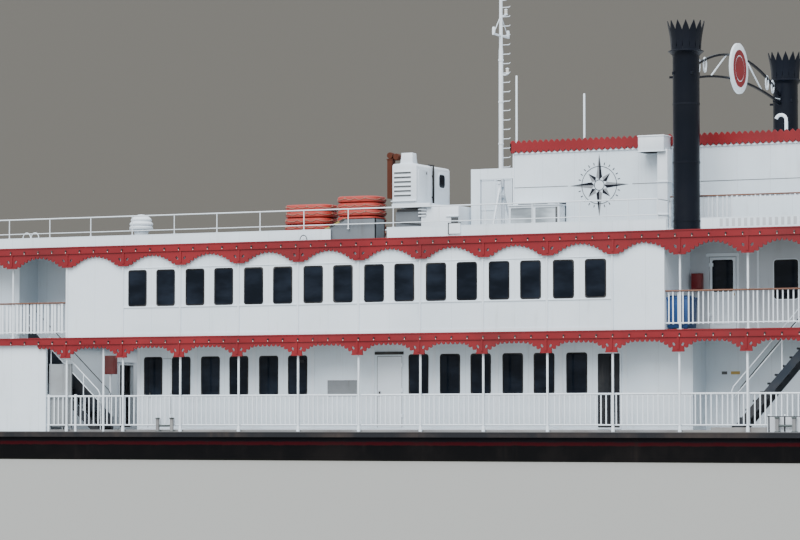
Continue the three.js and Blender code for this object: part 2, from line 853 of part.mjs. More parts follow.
add("sign_bracket", "black", signBracket());
add(
  "sign_disc",
  "red",
  new THREE.CylinderGeometry(signRadius, signRadius, 70, 32)
    .rotateZ(Math.PI / 2)
    .translate(armX[1] + seam + 35, 0, signZ),
);

// Mast in its tabernacle, hinged to lie aft, with the two portal frames that stand beside it
const mastTop = 15000;
const mastPin = 32;
const mastHalf = 75;
function mastTabernacle() {
  const cheek = [mastHalf + 12, mastHalf + 62];
  const base = [mastX - 300, mastX + 300];
  const pieces = [box(base, [-700, 700], [onTop, topDeckZ + 60])];
  const cheekZ = [topDeckZ + 30, mastHingeZ + 130];
  for (const { out } of sides) {
    pieces.push(
      box([mastX - 60, mastX + 60], ordered(out * cheek[0], out * cheek[1]), cheekZ),
      bar([mastX + 120, out * 620, topDeckZ + 30], [mastX, out * 110, mastHingeZ - 150], 60),
    );
  }
  pieces.push(box([mastX - 60, mastX + 60], [-cheek[1], cheek[1]], [mastHingeZ - 420, mastHingeZ - 340]));
  const pinHole = crossCylinder(mastX, [-200, 200], mastHingeZ, mastPin + 1.4);
  return cut(join(pieces), [pinHole]);
}
add("mast_tabernacle", "white", mastTabernacle());

function mast() {
  const heel = mastHingeZ - 110;
  const pieces = [
    uprightCylinder(mastX, 0, [heel, mastTop], mastHalf, 12),
    crossCylinder(mastX, [-mastHalf - 60, mastHalf + 60], mastHingeZ, mastPin),
    box([mastX - 30, mastX + 30], [-550, 550], [13300, 13360]),
  ];
  const rungs = { from: 9700, step: 520, count: 10, half: 190 };
  for (let number = 0; number < rungs.count; number++) {
    const z = rungs.from + rungs.step * number;
    pieces.push(box([mastX - 14, mastX + 14], [-rungs.half, rungs.half], [z - 14, z + 14]));
  }
  return join(pieces);
}
add("mast", "white", mast());

// Machinery housing on its pedestal, to starboard of the mast, with its exhaust pipe behind it
const housing = { x: [2240, 2980], y: [-3400, -1230], z: [8300, 9455] };
const pedestal = { x: [3080, 4220], y: [-3300, -2300], z: [onTop, 8340] };
const housingLeg = 100;
const legCorners = [
  [housing.x[0] + 20, housing.y[0] + 20],
  [housing.x[0] + 20, housing.y[1] - 120],
  [housing.x[1] - 120, housing.y[1] - 120],
];
add(
  "machinery_housing",
  "white",
  join([
    box(housing.x, housing.y, housing.z),
    box([2460, 2760], [-3350, -3050], [9440, 9790]),
    box([housing.x[0], 3400], housing.y, [8240, 8340]),
    box(pedestal.x, pedestal.y, pedestal.z),
    ...legCorners.map(([x, y]) => box([x, x + housingLeg], [y, y + housingLeg], [onTop, 8340])),
    box([housing.x[0] - 190, housing.x[0] + 10], [-3380, -3210], [8500, 9700]),
  ]),
);

// Rigid life floats: tiers of rings on a common rack
function floatStacks() {
  const tier = 200;
  const stacks = [
    // x from and to, number of tiers
    [-950, 320, 4],
    [560, 1830, 5],
  ];
  const y = [-3700, -2700];
  const pieces = [box([-950, 1830], [y[0] + 250, y[1] - 250], [onTop + 60, topDeckZ + 240])];
  for (const x of [-700, 100, 800, 1600])
    pieces.push(box([x - 60, x + 60], [y[0] + 250, y[1] - 250], [onTop, topDeckZ + 100]));
  for (const [from, to, tiers] of stacks)
    for (let number = 0; number < tiers; number++) {
      const low = topDeckZ + 220 + number * tier;
      const inset = number % 2 ? 18 : 0;
      pieces.push(box([from + inset, to - inset], [y[0] + inset, y[1] - inset], [low, low + tier + 10]));
    }
  return join(pieces);
}
add("life_floats", "orange", floatStacks());

// Grey boarding ramp laid against the coaming
add(
  "boarding_ramp",
  "steel",
  sidePlate(
    outline([
      [200, onTop],
      [2200, onTop],
      [2200, 7900],
      [1250, 7900],
      [200, 7420],
    ]),
    [-4400, -3800],
  ),
);

// Mushroom vent near the after end of the top deck
add(
  "vent_cowl",
  "white",
  new THREE.LatheGeometry(
    [
      [0, onTop],
      [200, onTop],
      [200, 7780],
      [330, 7780],
      [330, 7900],
      [260, 8120],
      [0, 8250],
    ].map(([radius, z]) => new THREE.Vector2(radius, z)),
    16,
  )
    .rotateX(Math.PI / 2)
    .translate(-5600, -3850, 0),
);

// Stern wheel: three spider frames on one shaft, with a board across every spoke.
const wheelHalf = 3080;
const boardCount = 12;
function paddleWheel() {
  const shaft = 120;
  const pieces = [crossCylinder(0, [-3560, 3560], 0, shaft)];
  const frames = [-2850, 0, 2850];
  const ring = (radius, width) => {
    const shape = new THREE.Shape();
    const inner = new THREE.Path();
    for (let number = 0; number <= boardCount; number++) {
      const angle = (2 * Math.PI * number) / boardCount;
      const [cos, sin] = [Math.cos(angle), Math.sin(angle)];
      if (number === 0) {
        shape.moveTo(radius, 0);
        inner.moveTo(radius - width, 0);
      } else if (number < boardCount) {
        shape.lineTo(radius * cos, radius * sin);
        inner.lineTo((radius - width) * cos, (radius - width) * sin);
      }
    }
    shape.holes.push(inner);
    return shape;
  };
  for (const y of frames) {
    pieces.push(crossCylinder(0, [y - 110, y + 110], 0, 380, 16));
    if (y) pieces.push(sidePlate(ring(2160, 110), [y - 30, y + 30]));
    for (let number = 0; number < boardCount; number++)
      pieces.push(
        box([200, 2330], [y - 40, y + 40], [-45, 45]).rotateY((2 * Math.PI * number) / boardCount),
      );
  }
  for (let number = 0; number < boardCount; number++) {
    const board = box([1840, wheelRadius], [-wheelHalf, wheelHalf], [-25, 25]);
    pieces.push(board.rotateY((2 * Math.PI * number) / boardCount));
  }
  return join(pieces).translate(wheelX, 0, wheelZ);
}
add("paddle_wheel", "wood", paddleWheel());

// Beams that carry the wheel's bearings behind the transom
for (const { side, out } of sides) {
  const shape = outline([
    [-15320, onMain],
    [sternX, onMain],
    [-20750, 2350],
    [-20750, 2750],
    [wheelX - 320, 3280],
    [wheelX + 320, 3280],
    [-19300, 2780],
    [-15320, 2450],
  ]);
  const beam = sidePlate(shape, ordered(out * 3250, out * 3500));
  const bearing = crossCylinder(wheelX, [-3700, 3700], wheelZ, 122);
  add(`wheel_beam_${side}`, "white", cut(beam, [bearing]));
}

// Balanced rudders under the raised stern
for (const { side, out } of sides) {
  const y = out * 1800;
  const stockX = -16300;
  add(
    `rudder_${side}`,
    "hull",
    join([
      box([-17100, -15700], [y - 40, y + 40], [150, 1090]),
      uprightCylinder(stockX, y, [600, 1150 - seam], 70, 16),
    ]),
  );
}

steamer.scale.setScalar(modelScale);
export default steamer;
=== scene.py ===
# A river paddle steamer at half of its real size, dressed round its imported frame.
import math
import random

import bmesh
import bpy
from mathutils import Matrix, Vector, geometry


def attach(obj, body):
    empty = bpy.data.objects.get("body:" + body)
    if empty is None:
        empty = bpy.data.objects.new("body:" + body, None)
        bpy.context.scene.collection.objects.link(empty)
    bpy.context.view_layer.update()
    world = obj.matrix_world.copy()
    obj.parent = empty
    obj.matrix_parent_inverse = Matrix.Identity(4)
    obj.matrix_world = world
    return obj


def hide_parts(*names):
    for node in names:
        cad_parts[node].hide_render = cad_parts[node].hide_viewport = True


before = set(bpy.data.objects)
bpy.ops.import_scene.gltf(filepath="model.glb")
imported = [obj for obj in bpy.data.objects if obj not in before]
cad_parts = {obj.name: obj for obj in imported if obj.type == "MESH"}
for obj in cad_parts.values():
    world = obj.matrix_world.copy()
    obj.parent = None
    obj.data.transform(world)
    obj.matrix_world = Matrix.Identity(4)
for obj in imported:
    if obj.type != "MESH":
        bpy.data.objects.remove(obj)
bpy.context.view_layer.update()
print("frame loaded")

# Lengths in this file are those of the real vessel in metres, with z = 0 at the flat bottom of the hull.
half = 0.5  # brings them to the size of the model
vessel = {
    "bay": 1.886,  # from one deck post to the next
    "firstPost": -9.58,
    "upperDeck": 4.7,
    "topDeck": 7.32,
    "floors": (2.0006, 4.7006, 7.3206),  # just above each deck
    "ceilings": (4.549, 7.169),  # just below the deck above
    "walls": (4.5, 3.6, 2.6),  # half breadths: saloon, main house, lounge and deckhouses
    "railLine": 4.42,
    "waterline": 1.2,
}
starboard, port = -1, 1
sides = {starboard: "starboard", port: "port"}
mainFloor, upperFloor, topFloor = vessel["floors"]
mainCeiling, upperCeiling = vessel["ceilings"]
sideWall, insetWall, narrowWall = vessel["walls"]
right = math.pi / 2
cube = [(0, 1, 3, 2), (4, 6, 7, 5), (0, 4, 5, 1), (2, 3, 7, 6), (0, 2, 6, 4), (1, 5, 7, 3)]

def postX(number):
    return vessel["firstPost"] + vessel["bay"] * number

def polar(radius, angle):
    return radius * math.cos(angle), radius * math.sin(angle)

def arc(x, y, wide, high, start, end, steps):
    # Points of a round or oval arc between two angles in degrees, both ends included
    angles = [math.radians(start + (end - start) * step / steps) for step in range(steps + 1)]
    return [(x + wide * math.cos(angle), y + high * math.sin(angle)) for angle in angles]

def circle(x, y, radius, count=12, stretch=1.0, turn=0.0):
    points = []
    for number in range(count):
        a, b = polar(radius, 2 * math.pi * number / count)
        a *= stretch
        points.append((x + a * math.cos(turn) - b * math.sin(turn), y + a * math.sin(turn) + b * math.cos(turn)))
    return points

def rounded(x, y, radius, steps=4):
    # Outline of a rectangle with round corners
    (x0, x1), (y0, y1) = x, y
    left, low, far, high = x0 + radius, y0 + radius, x1 - radius, y1 - radius
    return [point for turn, at in enumerate(((far, high), (left, high), (left, low), (far, low)))
            for point in arc(*at, radius, radius, 90 * turn, 90 * turn + 90, steps)]

def within(point, loop):
    # Whether a flat point lies inside a closed outline
    inside = False
    for (x1, y1), (x2, y2) in zip(loop, [*loop[1:], loop[0]]):
        if (y1 > point.y) != (y2 > point.y) and point.x < (x2 - x1) * (point.y - y1) / (y2 - y1) + x1:
            inside = not inside
    return inside

def quads(rings, corners, closed=False):
    # Faces that join rings of corners one after another
    return [
        (low * corners + n, low * corners + (n + 1) % corners, high * corners + (n + 1) % corners, high * corners + n)
        for low, high in zip(range(rings), [*range(1, rings), *([0] if closed else [])]) for n in range(corners)]

class Shell:
    # Gathers the closed shells of one piece.
    def __init__(self):
        self.points = []
        self.faces = []

    def take(self, points, faces):
        base = len(self.points)
        self.points.extend(tuple(point) for point in points)
        self.faces.extend([tuple(base + corner for corner in face) for face in faces])
        return self

    def join(self, other):
        return self.take(other.points, other.faces)

    def mirror(self):
        # Adds the same shapes on the other side of the vessel.
        return self.take([(x, -y, z) for x, y, z in self.points], self.faces)

    def box(self, x, y, z):
        return self.take([(a, b, c) for a in sorted(x) for b in sorted(y) for c in sorted(z)], cube)

    def boxes(self, *rows):
        # Each row gives a box by its two x, two y and two z.
        for x0, x1, y0, y1, z0, z1 in rows:
            self.box((x0, x1), (y0, y1), (z0, z1))
        return self

    def post(self, x, y, wide, z, deep=None):
        # An upright box about a point; wide and deep are half breadths.
        deep = deep or wide
        return self.box((x - wide, x + wide), (y - deep, y + deep), z)

    def bar(self, start, end, width, height=None):
        height = height or width
        start, end = Vector(start), Vector(end)
        along = (end - start).normalized()
        up = Vector((1, 0, 0)) if abs(along.z) > 0.9 else Vector((0, 0, 1))
        across = up.cross(along).normalized()
        top = along.cross(across) * height / 2
        points = [at + a * across * width / 2 + b * top for at in (start, end) for a in (-1, 1) for b in (-1, 1)]
        return self.take(points, cube)

    def tube(self, path, radius, corners=8):
        # A round tube through the points of a path, with flat ends.
        path = [Vector(point) for point in path]
        points, normal = [], None
        for number, point in enumerate(path):
            ahead = (path[min(number + 1, len(path) - 1)] - path[max(number - 1, 0)]).normalized()
            normal = normal or ahead.orthogonal().normalized()
            normal = (normal - ahead * normal.dot(ahead)).normalized()
            other = ahead.cross(normal)
            for a, b in (polar(radius, 2 * math.pi * corner / corners) for corner in range(corners)):
                points.append(point + a * normal + b * other)
        caps = [tuple(range(corners)), tuple(range(len(points) - 1, len(points) - corners - 1, -1))]
        return self.take(points, quads(len(path), corners) + caps)

    def rod(self, start, end, radius, corners=10):
        return self.tube([start, end], radius, corners)

    def turned(self, profile, centre=(0, 0, 0), corners=24, place=Matrix.Identity(4)):
        # A profile of (radius, height) turned about z; it starts and ends on the axis or closes on itself.
        points, faces, rings = [], [], []
        for radius, height in profile:
            count = 1 if radius < 1e-6 else corners
            rings.append([len(points) + n % count for n in range(corners + 1)])
            points += [Vector((*polar(radius, 2 * math.pi * n / corners), height)) for n in range(count)]
        if profile[0][0] > 1e-6 and profile[-1][0] > 1e-6:
            rings.append(rings[0])
        for low, high in zip(rings, rings[1:]):
            for n in range(corners):
                face = list(dict.fromkeys((low[n], low[n + 1], high[n + 1], high[n])))
                if len(face) > 2:
                    faces.append(face)
        place = Matrix.Translation(Vector(centre)) @ place
        return self.take([place @ point for point in points], faces)

    def hoop(self, inner, outer, z, centre, corners, place=Matrix.Identity(4)):
        # A flat ring between two heights, or a disc where inner is 0.
        low, high = z
        return self.turned([(inner, low), (outer, low), (outer, high), (inner, high)], centre, corners, place)

    def plate(self, outline, holes, depth, place):
        # A flat plate with holes; place turns (along, up, through) into a point.
        edges, flat = [], []
        for loop in (outline, *holes):
            edges += [(len(flat) + n, len(flat) + (n + 1) % len(loop)) for n in range(len(loop))]
            flat += [Vector(point) for point in loop]
        corners, _, faces, *_ = geometry.delaunay_2d_cdt(flat, edges, [], 1, 1e-6)
        middle = lambda face: sum((corners[n] for n in face), Vector((0, 0))) / 3
        faces = [face for face in faces if not any(within(middle(face), hole) for hole in holes)]
        count = len(corners)
        used = {(face[n], face[(n + 1) % len(face)]): True for face in faces for n in range(len(face))}
        rim = [(b, a, a + count, b + count) for a, b in used if (b, a) not in used]
        points = [place(corner.x, corner.y, through) for through in (0, depth) for corner in corners]
        caps = [tuple(reversed(face)) for face in faces] + [tuple(count + n for n in face) for face in faces]
        return self.take(points, caps + rim)

    def panel(self, place, x, y, corner, depth, border=None, inner=0.0):
        # A plate with round corners; a border leaves an opening inside it.
        (x0, x1), (y0, y1) = x, y
        hole = [] if border is None else [rounded((x0 + border, x1 - border), (y0 + border, y1 - border), inner)]
        return self.plate(rounded(x, y, corner), hole, depth, place)

def onSide(plane, side=port):
    # Places a plate drawn in x and z on a side of the vessel; its depth goes outward.
    return lambda along, up, through: (along, side * (plane + through), up)

def onFront(plane):
    # Places a plate drawn in y and z across the vessel; its depth goes forward.
    return lambda along, up, through: (plane + through, along, up)

def onTop(plane):
    return lambda along, up, through: (along, up, plane + through)

def asObject(name, mesh):
    made = bpy.data.objects.new(name, mesh)
    bpy.context.scene.collection.objects.link(made)
    return made

def meshOf(name, shell, scale=half):
    mesh = bpy.data.meshes.new(name)
    mesh.from_pydata([tuple(scale * value for value in point) for point in shell.points], [], shell.faces)
    work = bmesh.new()
    work.from_mesh(mesh)
    bmesh.ops.recalc_face_normals(work, faces=work.faces)
    work.to_mesh(mesh)
    work.free()
    return mesh

def applied(piece):
    return bpy.data.meshes.new_from_object(piece.evaluated_get(bpy.context.evaluated_depsgraph_get()))

def settle(piece, finish, replaced, body="vessel", smooth=True, slot=None):
    # Gives a finished piece its material and shading, and fixes it to its body.
    material, usual = finishes[finish]
    piece.data.materials.clear()
    piece.data.materials.append(material)
    if smooth:
        piece.data.shade_smooth()
        piece.data.set_sharp_from_angle(angle=math.radians(35))
    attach(piece, body)
    if replaced:
        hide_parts(*replaced)
    return piece

def makePiece(name, shell, finish, *replaced, bevel=0, **settings):
    piece = asObject(name, meshOf(name, shell))
    if bevel:
        edges = piece.modifiers.new("roundedEdges", "BEVEL")
        edges.width = bevel * half
        edges.segments = 2
        edges.limit_method = "ANGLE"
        edges.angle_limit = math.radians(50)
        solid = applied(piece)
        piece.modifiers.clear()
        piece.data = solid
    return settle(piece, finish, replaced, **settings)

def makeFlat(*given, **settings):
    return makePiece(*given, smooth=False, **settings)

# Node trees that repeat a piece
def newTree(name, kind, inputs, outputs):
    # An empty tree with the named inputs and outputs; returns the tree, its inputs and its last node.
    tree = bpy.data.node_groups.new(name, kind)
    for label, form, value in inputs:
        socket = tree.interface.new_socket(label, in_out="INPUT", socket_type="NodeSocket" + form)
        if value is not None:
            socket.default_value = value
    for label, form in outputs:
        tree.interface.new_socket(label, in_out="OUTPUT", socket_type="NodeSocket" + form)
    return tree, tree.nodes.new("NodeGroupInput").outputs, tree.nodes.new("NodeGroupOutput")

def addNode(tree, kind, links=None, **settings):
    # A node with its settings; links maps an input's name or number to a value or to another node's output.
    node = tree.nodes.new(kind)
    for key, value in settings.items():
        setattr(node, key, value)
    for key, value in (links or {}).items():
        if isinstance(value, bpy.types.NodeSocket):
            tree.links.new(value, node.inputs[key])
        else:
            node.inputs[key].default_value = value
    return node

def flow(*given, **settings):
    # The first output of a new node
    return addNode(*given, **settings).outputs[0]

def math2(tree, operation, first, second=0.0, third=0.0):
    return flow(tree, "ShaderNodeMath", {0: first, 1: second, 2: third}, operation=operation)

def shapeTree(name, inputs):
    return newTree(name, "GeometryNodeTree", [("Geometry", "Geometry", None), ("Item", "Object", None), *inputs,
                                              ("Finish", "Material", None)], [("Geometry", "Geometry")])

def endTree(tree, placed, given, result):
    # Instances are made real and take the piece's finish.
    real = flow(tree, "GeometryNodeRealizeInstances", {"Geometry": placed})
    done = flow(tree, "GeometryNodeSetMaterial", {"Geometry": real, "Material": given["Finish"]})
    tree.links.new(done, result.inputs[0])
    return tree

def onPoints(tree, given, points, **links):
    item = addNode(tree, "GeometryNodeObjectInfo", {"Object": given["Item"]}, transform_space="ORIGINAL")
    return flow(tree, "GeometryNodeInstanceOnPoints", {"Points": points, "Instance": item.outputs["Geometry"], **links})

def makeRowTree():
    # One piece repeated at a pitch along a straight line, both ends included, with a little unevenness.
    tree, given, result = shapeTree("rowOfPieces", [
        ("From", "Vector", (0, 0, 0)), ("To", "Vector", (1, 0, 0)), ("Pitch", "Float", 0.13),
        ("Turn", "Vector", (0, 0, 0)), ("Uneven", "Float", 0.0), ("Seed", "Int", 1)])
    line = flow(tree, "GeometryNodeCurvePrimitiveLine", {"Start": given["From"], "End": given["To"]})
    length = flow(tree, "GeometryNodeCurveLength", {"Curve": line})
    count = math2(tree, "ADD", math2(tree, "ROUND", math2(tree, "DIVIDE", length, given["Pitch"])), 1.0)
    points = addNode(tree, "GeometryNodeCurveToPoints", {"Curve": line, "Count": count}, mode="COUNT").outputs["Points"]
    wander = addNode(tree, "FunctionNodeRandomValue", {"Seed": given["Seed"]}, data_type="FLOAT_VECTOR")
    wander.inputs[0].default_value = (-1, -1, -1)
    wander.inputs[1].default_value = (1, 1, 1)
    lean = flow(tree, "ShaderNodeVectorMath", {0: wander.outputs[0], "Scale": given["Uneven"]}, operation="SCALE")
    turn = flow(tree, "ShaderNodeVectorMath", {0: lean, 1: given["Turn"]}, operation="ADD")
    return endTree(tree, onPoints(tree, given, points, Rotation=turn), given, result)

def makePointTree():
    # One piece on every point of the carrier, turned and sized by the point's own attributes.
    tree, given, result = shapeTree("piecesOnPoints", [])
    turn, size = (flow(tree, "GeometryNodeInputNamedAttribute", {"Name": label}, data_type="FLOAT_VECTOR")
                  for label in ("turn", "size"))
    return endTree(tree, onPoints(tree, given, given["Geometry"], Rotation=turn, Scale=size), given, result)

def makeRingTree():
    # One piece repeated round an axis; the ring is then turned and moved as a whole.
    tree, given, result = shapeTree("ringOfPieces", [
        ("Count", "Int", 12), ("Radius", "Float", 0.4), ("Lean", "Float", 0.0), ("First", "Float", 0.0),
        ("AxisTurn", "Vector", (0, 0, 0)), ("Centre", "Vector", (0, 0, 0))])
    step = math2(tree, "DIVIDE", 2 * math.pi, given["Count"])
    angle = math2(tree, "MULTIPLY_ADD", flow(tree, "GeometryNodeInputIndex"), step, given["First"])
    x, y = (math2(tree, "MULTIPLY", math2(tree, part, angle), given["Radius"]) for part in ("COSINE", "SINE"))
    place = flow(tree, "ShaderNodeCombineXYZ", {"X": x, "Y": y})
    turn = flow(tree, "ShaderNodeCombineXYZ", {"Y": given["Lean"], "Z": angle})
    points = flow(tree, "GeometryNodePoints", {"Count": given["Count"], "Position": place})
    whole = flow(tree, "GeometryNodeTransform", {
        "Geometry": onPoints(tree, given, points, Rotation=turn), "Translation": given["Centre"],
        "Rotation": given["AxisTurn"]})
    return endTree(tree, whole, given, result)

rowTree, pointTree, ringTree = makeRowTree(), makePointTree(), makeRingTree()

def grow(name, tree, item, material, carrier=None, **inputs):
    # Runs a tree on a carrier mesh and returns the plain mesh that it makes.
    part = asObject(name + "Item", meshOf(name + "Item", item, 1.0))
    base = asObject(name, carrier or bpy.data.meshes.new(name))
    modifier = base.modifiers.new("repeat", "NODES")
    modifier.node_group = tree
    given = {"Item": part, "Finish": material, **inputs}
    for socket in tree.interface.items_tree:
        if socket.in_out == "INPUT" and socket.name in given:
            modifier[socket.identifier] = given[socket.name]
    bpy.context.view_layer.update()
    solid = applied(base)
    bpy.data.objects.remove(base)
    bpy.data.objects.remove(part)
    return solid

def grown(name, tree, item, finish, *replaced, runs=({},), carrier=None, common=None, **settings):
    # A piece made by one tree, in one or several runs, each with its own inputs besides the common ones
    work = bmesh.new()
    for run in runs:
        work.from_mesh(grow(name, tree, item, finishes[finish][0], carrier, **(common or {}), **run))
    joined = bpy.data.meshes.new(name)
    work.to_mesh(joined)
    work.free()
    joined.transform(Matrix.Scale(half, 4))
    return settle(asObject(name, joined), finish, replaced, **settings)

def fromTo(x0, x1, y, z=0, **inputs):
    # Inputs of a row that runs along the vessel
    return {"From": (x0, y, z), "To": (x1, y, z), **inputs}

def pointCarrier(spots):
    # A mesh of points from rows of (place, turn, size)
    mesh = bpy.data.meshes.new("points")
    mesh.from_pydata([place for place, turn, size in spots], [], [])
    for label, number in (("turn", 1), ("size", 2)):
        store = mesh.attributes.new(label, "FLOAT_VECTOR", "POINT")
        for entry, spot in zip(store.data, spots):
            entry.vector = spot[number]
    return mesh

print("node trees made")

# Shader groups that several finishes share
def softStep(tree, value, low, high):
    # 0 below low, 1 above high, smooth between
    return flow(tree, "ShaderNodeMapRange", {"Value": value, "From Min": low, "From Max": high},
                interpolation_type="SMOOTHSTEP")

def objectPlace(tree, stretch=(1, 1, 1)):
    place = addNode(tree, "ShaderNodeTexCoord").outputs["Object"]
    return flow(tree, "ShaderNodeMapping", {"Vector": place, "Scale": stretch})

def splitPlace(tree):
    return addNode(tree, "ShaderNodeSeparateXYZ", {0: addNode(tree, "ShaderNodeTexCoord").outputs["Object"]}).outputs

def noiseOf(tree, scale, detail=4.0, roughness=0.6, stretch=(1, 1, 1)):
    return flow(tree, "ShaderNodeTexNoise", {
        "Vector": objectPlace(tree, stretch), "Scale": scale, "Detail": detail, "Roughness": roughness})

def makeWeather():
    # Soiling of painted steel: soft clouds, runs that hang straight down, and a fine skin.
    group, given, result = newTree("weather", "ShaderNodeTree", [
        ("Cloud size", "Float", 1.2), ("Clouds", "Float", 0.3), ("Run size", "Float", 9.0), ("Runs", "Float", 0.3),
        ("Skin size", "Float", 60.0)], [("Soil", "Float"), ("Skin", "Float")])
    clouds = softStep(group, noiseOf(group, given["Cloud size"], 5), 0.42, 0.72)
    runs = softStep(group, noiseOf(group, given["Run size"], 3, 0.7, (1, 1, 0.07)), 0.5, 0.78)
    patchy = softStep(group, noiseOf(group, 2.3, 2), 0.4, 0.65)
    soil = math2(group, "MULTIPLY", clouds, given["Clouds"])
    hung = math2(group, "MULTIPLY", math2(group, "MULTIPLY", runs, patchy), given["Runs"])
    group.links.new(math2(group, "ADD", soil, hung), result.inputs["Soil"])
    group.links.new(noiseOf(group, given["Skin size"], 3), result.inputs["Skin"])
    return group

def makeRust():
    # Rust blooms with a darker heart, in spots and short runs below them.
    group, given, result = newTree("rust", "ShaderNodeTree", [
        ("Spot size", "Float", 6.0), ("Amount", "Float", 0.3)], [("Rust", "Float"), ("Rust colour", "Color")])
    spots = noiseOf(group, given["Spot size"], 6, 0.7)
    runs = noiseOf(group, given["Spot size"], 4, 0.6, (1, 1, 0.12))
    both = math2(group, "ADD", math2(group, "MULTIPLY", spots, 0.6), math2(group, "MULTIPLY", runs, 0.4))
    low = math2(group, "SUBTRACT", 0.82, math2(group, "MULTIPLY", given["Amount"], 0.4))
    group.links.new(softStep(group, both, low, math2(group, "ADD", low, 0.06)), result.inputs["Rust"])
    colour = blendColour(group, noiseOf(group, 40.0, 4), (0.075, 0.022, 0.01), (0.28, 0.1, 0.035))
    group.links.new(colour, result.inputs["Rust colour"])
    return group

def makeJoints():
    # Fine lines across the vessel's length at a pitch, where plates or boards meet.
    group, given, result = newTree("joints", "ShaderNodeTree", [
        ("Pitch", "Float", 0.94), ("Offset", "Float", 0.0), ("Width", "Float", 0.004)], [("Line", "Float")])
    moved = math2(group, "ADD", splitPlace(group)["X"], given["Offset"])
    back = math2(group, "PINGPONG", moved, math2(group, "MULTIPLY", given["Pitch"], 0.5))
    line = flow(group, "ShaderNodeMapRange", {
        "Value": back, "From Min": 0.0, "From Max": given["Width"], "To Min": 1.0, "To Max": 0.0})
    group.links.new(line, result.inputs["Line"])
    return group

def blendColour(tree, factor, first, second):
    node = addNode(tree, "ShaderNodeMix", {"Factor": factor}, data_type="RGBA")
    for socket, value in ((node.inputs[6], first), (node.inputs[7], second)):
        if isinstance(value, bpy.types.NodeSocket):
            tree.links.new(value, socket)
        else:
            socket.default_value = (*value, 1)
    return node.outputs[2]

weather, rust, joints = makeWeather(), makeRust(), makeJoints()
finishes = {}  # name: its material and the slot that its pieces take

def startFinish(name, slot):
    made = bpy.data.materials.new(name)
    made.use_nodes = True
    finishes[name] = made, slot
    return made, made.node_tree, made.node_tree.nodes["Principled BSDF"].inputs

def paint(name, slot, look):
    # A painted or bare finish from one dictionary of its values
    made, tree, shader = startFinish(name, slot)
    made.diffuse_color = (*look["colour"], 1)
    soiling = addNode(tree, "ShaderNodeGroup", node_tree=weather)
    for label in ("Clouds", "Run size", "Runs", "Skin size"):
        if label in look:
            soiling.inputs[label].default_value = look[label]
    patches = softStep(tree, noiseOf(tree, 0.8, 3), 0.35, 0.7)
    colour = blendColour(tree, patches, look["colour"], look["second"])
    if "up" in look:  # another colour on faces that look up, such as decks
        normal = addNode(tree, "ShaderNodeSeparateXYZ", {0: addNode(tree, "ShaderNodeNewGeometry").outputs["Normal"]})
        upward = softStep(tree, normal.outputs["Z"], 0.5, 0.7)
        colour = blendColour(tree, upward, colour, blendColour(tree, patches, *look["up"]))
    if "bands" in look:  # other colours below given heights, softly broken
        broken = math2(tree, "MULTIPLY", noiseOf(tree, 7.0, 5, stretch=(1, 1, 0.3)), look["ragged"])
        ragged = math2(tree, "ADD", splitPlace(tree)["Z"], broken)
        for height, band in look["bands"]:
            below = softStep(tree, math2(tree, "SUBTRACT", height * half, ragged), -0.012, 0.012)
            colour = blendColour(tree, below, colour, band)
    colour = blendColour(tree, soiling.outputs["Soil"], colour, look.get("soil", (0.2, 0.19, 0.17)))
    relief = soiling.outputs["Skin"]
    if "joints" in look:
        lines = flow(tree, "ShaderNodeGroup", {}, node_tree=joints)
        for label, value in look["joints"].items():
            lines.node.inputs[label].default_value = value
        faint = math2(tree, "MULTIPLY", lines, look.get("joint strength", 0.45))
        colour = blendColour(tree, faint, colour, tuple(0.35 * part for part in look["colour"]))
        relief = math2(tree, "SUBTRACT", relief, lines)
    level = soiling.outputs["Soil"]
    if "rust" in look:
        amount, size = look["rust"]
        rusting = addNode(tree, "ShaderNodeGroup", node_tree=rust)
        rusting.inputs["Spot size"].default_value, rusting.inputs["Amount"].default_value = size, amount
        colour = blendColour(tree, rusting.outputs["Rust"], colour, rusting.outputs["Rust colour"])
        level = math2(tree, "MAXIMUM", level, rusting.outputs["Rust"])
    tree.links.new(colour, shader["Base Color"])
    smooth, rough = look["roughness"]
    gloss = flow(tree, "ShaderNodeMapRange", {"Value": level, "To Min": smooth, "To Max": rough})
    tree.links.new(gloss, shader["Roughness"])
    shader["Metallic"].default_value = look.get("metallic", 0.0)
    shader["Specular IOR Level"].default_value = look.get("gloss", 0.5)
    bump = flow(tree, "ShaderNodeBump", {
        "Height": relief, "Strength": look.get("bump", 0.15), "Distance": look.get("depth", 0.003)})
    tree.links.new(bump, shader["Normal"])

def glassFinish(name, slot, colour, roughness=0.08):
    made, tree, shader = startFinish(name, slot)
    made.diffuse_color = (*colour, 1)
    drift = softStep(tree, noiseOf(tree, 1.6, 3, stretch=(1, 1, 2.5)), 0.35, 0.75)
    paler = tuple(2.6 * part + 0.004 for part in colour)
    tree.links.new(blendColour(tree, drift, colour, paler), shader["Base Color"])
    shader["Roughness"].default_value = roughness
    shader["Specular IOR Level"].default_value = 0.09
    ripple = flow(tree, "ShaderNodeBump", {"Height": noiseOf(tree, 3.0, 2), "Strength": 0.04, "Distance": 0.01})
    tree.links.new(ripple, shader["Normal"])

def lampFinish(name, slot, colour, glow):
    made, tree, shader = startFinish(name, slot)
    cloud = blendColour(tree, noiseOf(tree, 90.0, 2), colour, tuple(0.8 * part for part in colour))
    tree.links.new(cloud, shader["Base Color"])
    shader["Roughness"].default_value = 0.18
    shader["Emission Color"].default_value = (*colour, 1)
    shader["Emission Strength"].default_value = glow

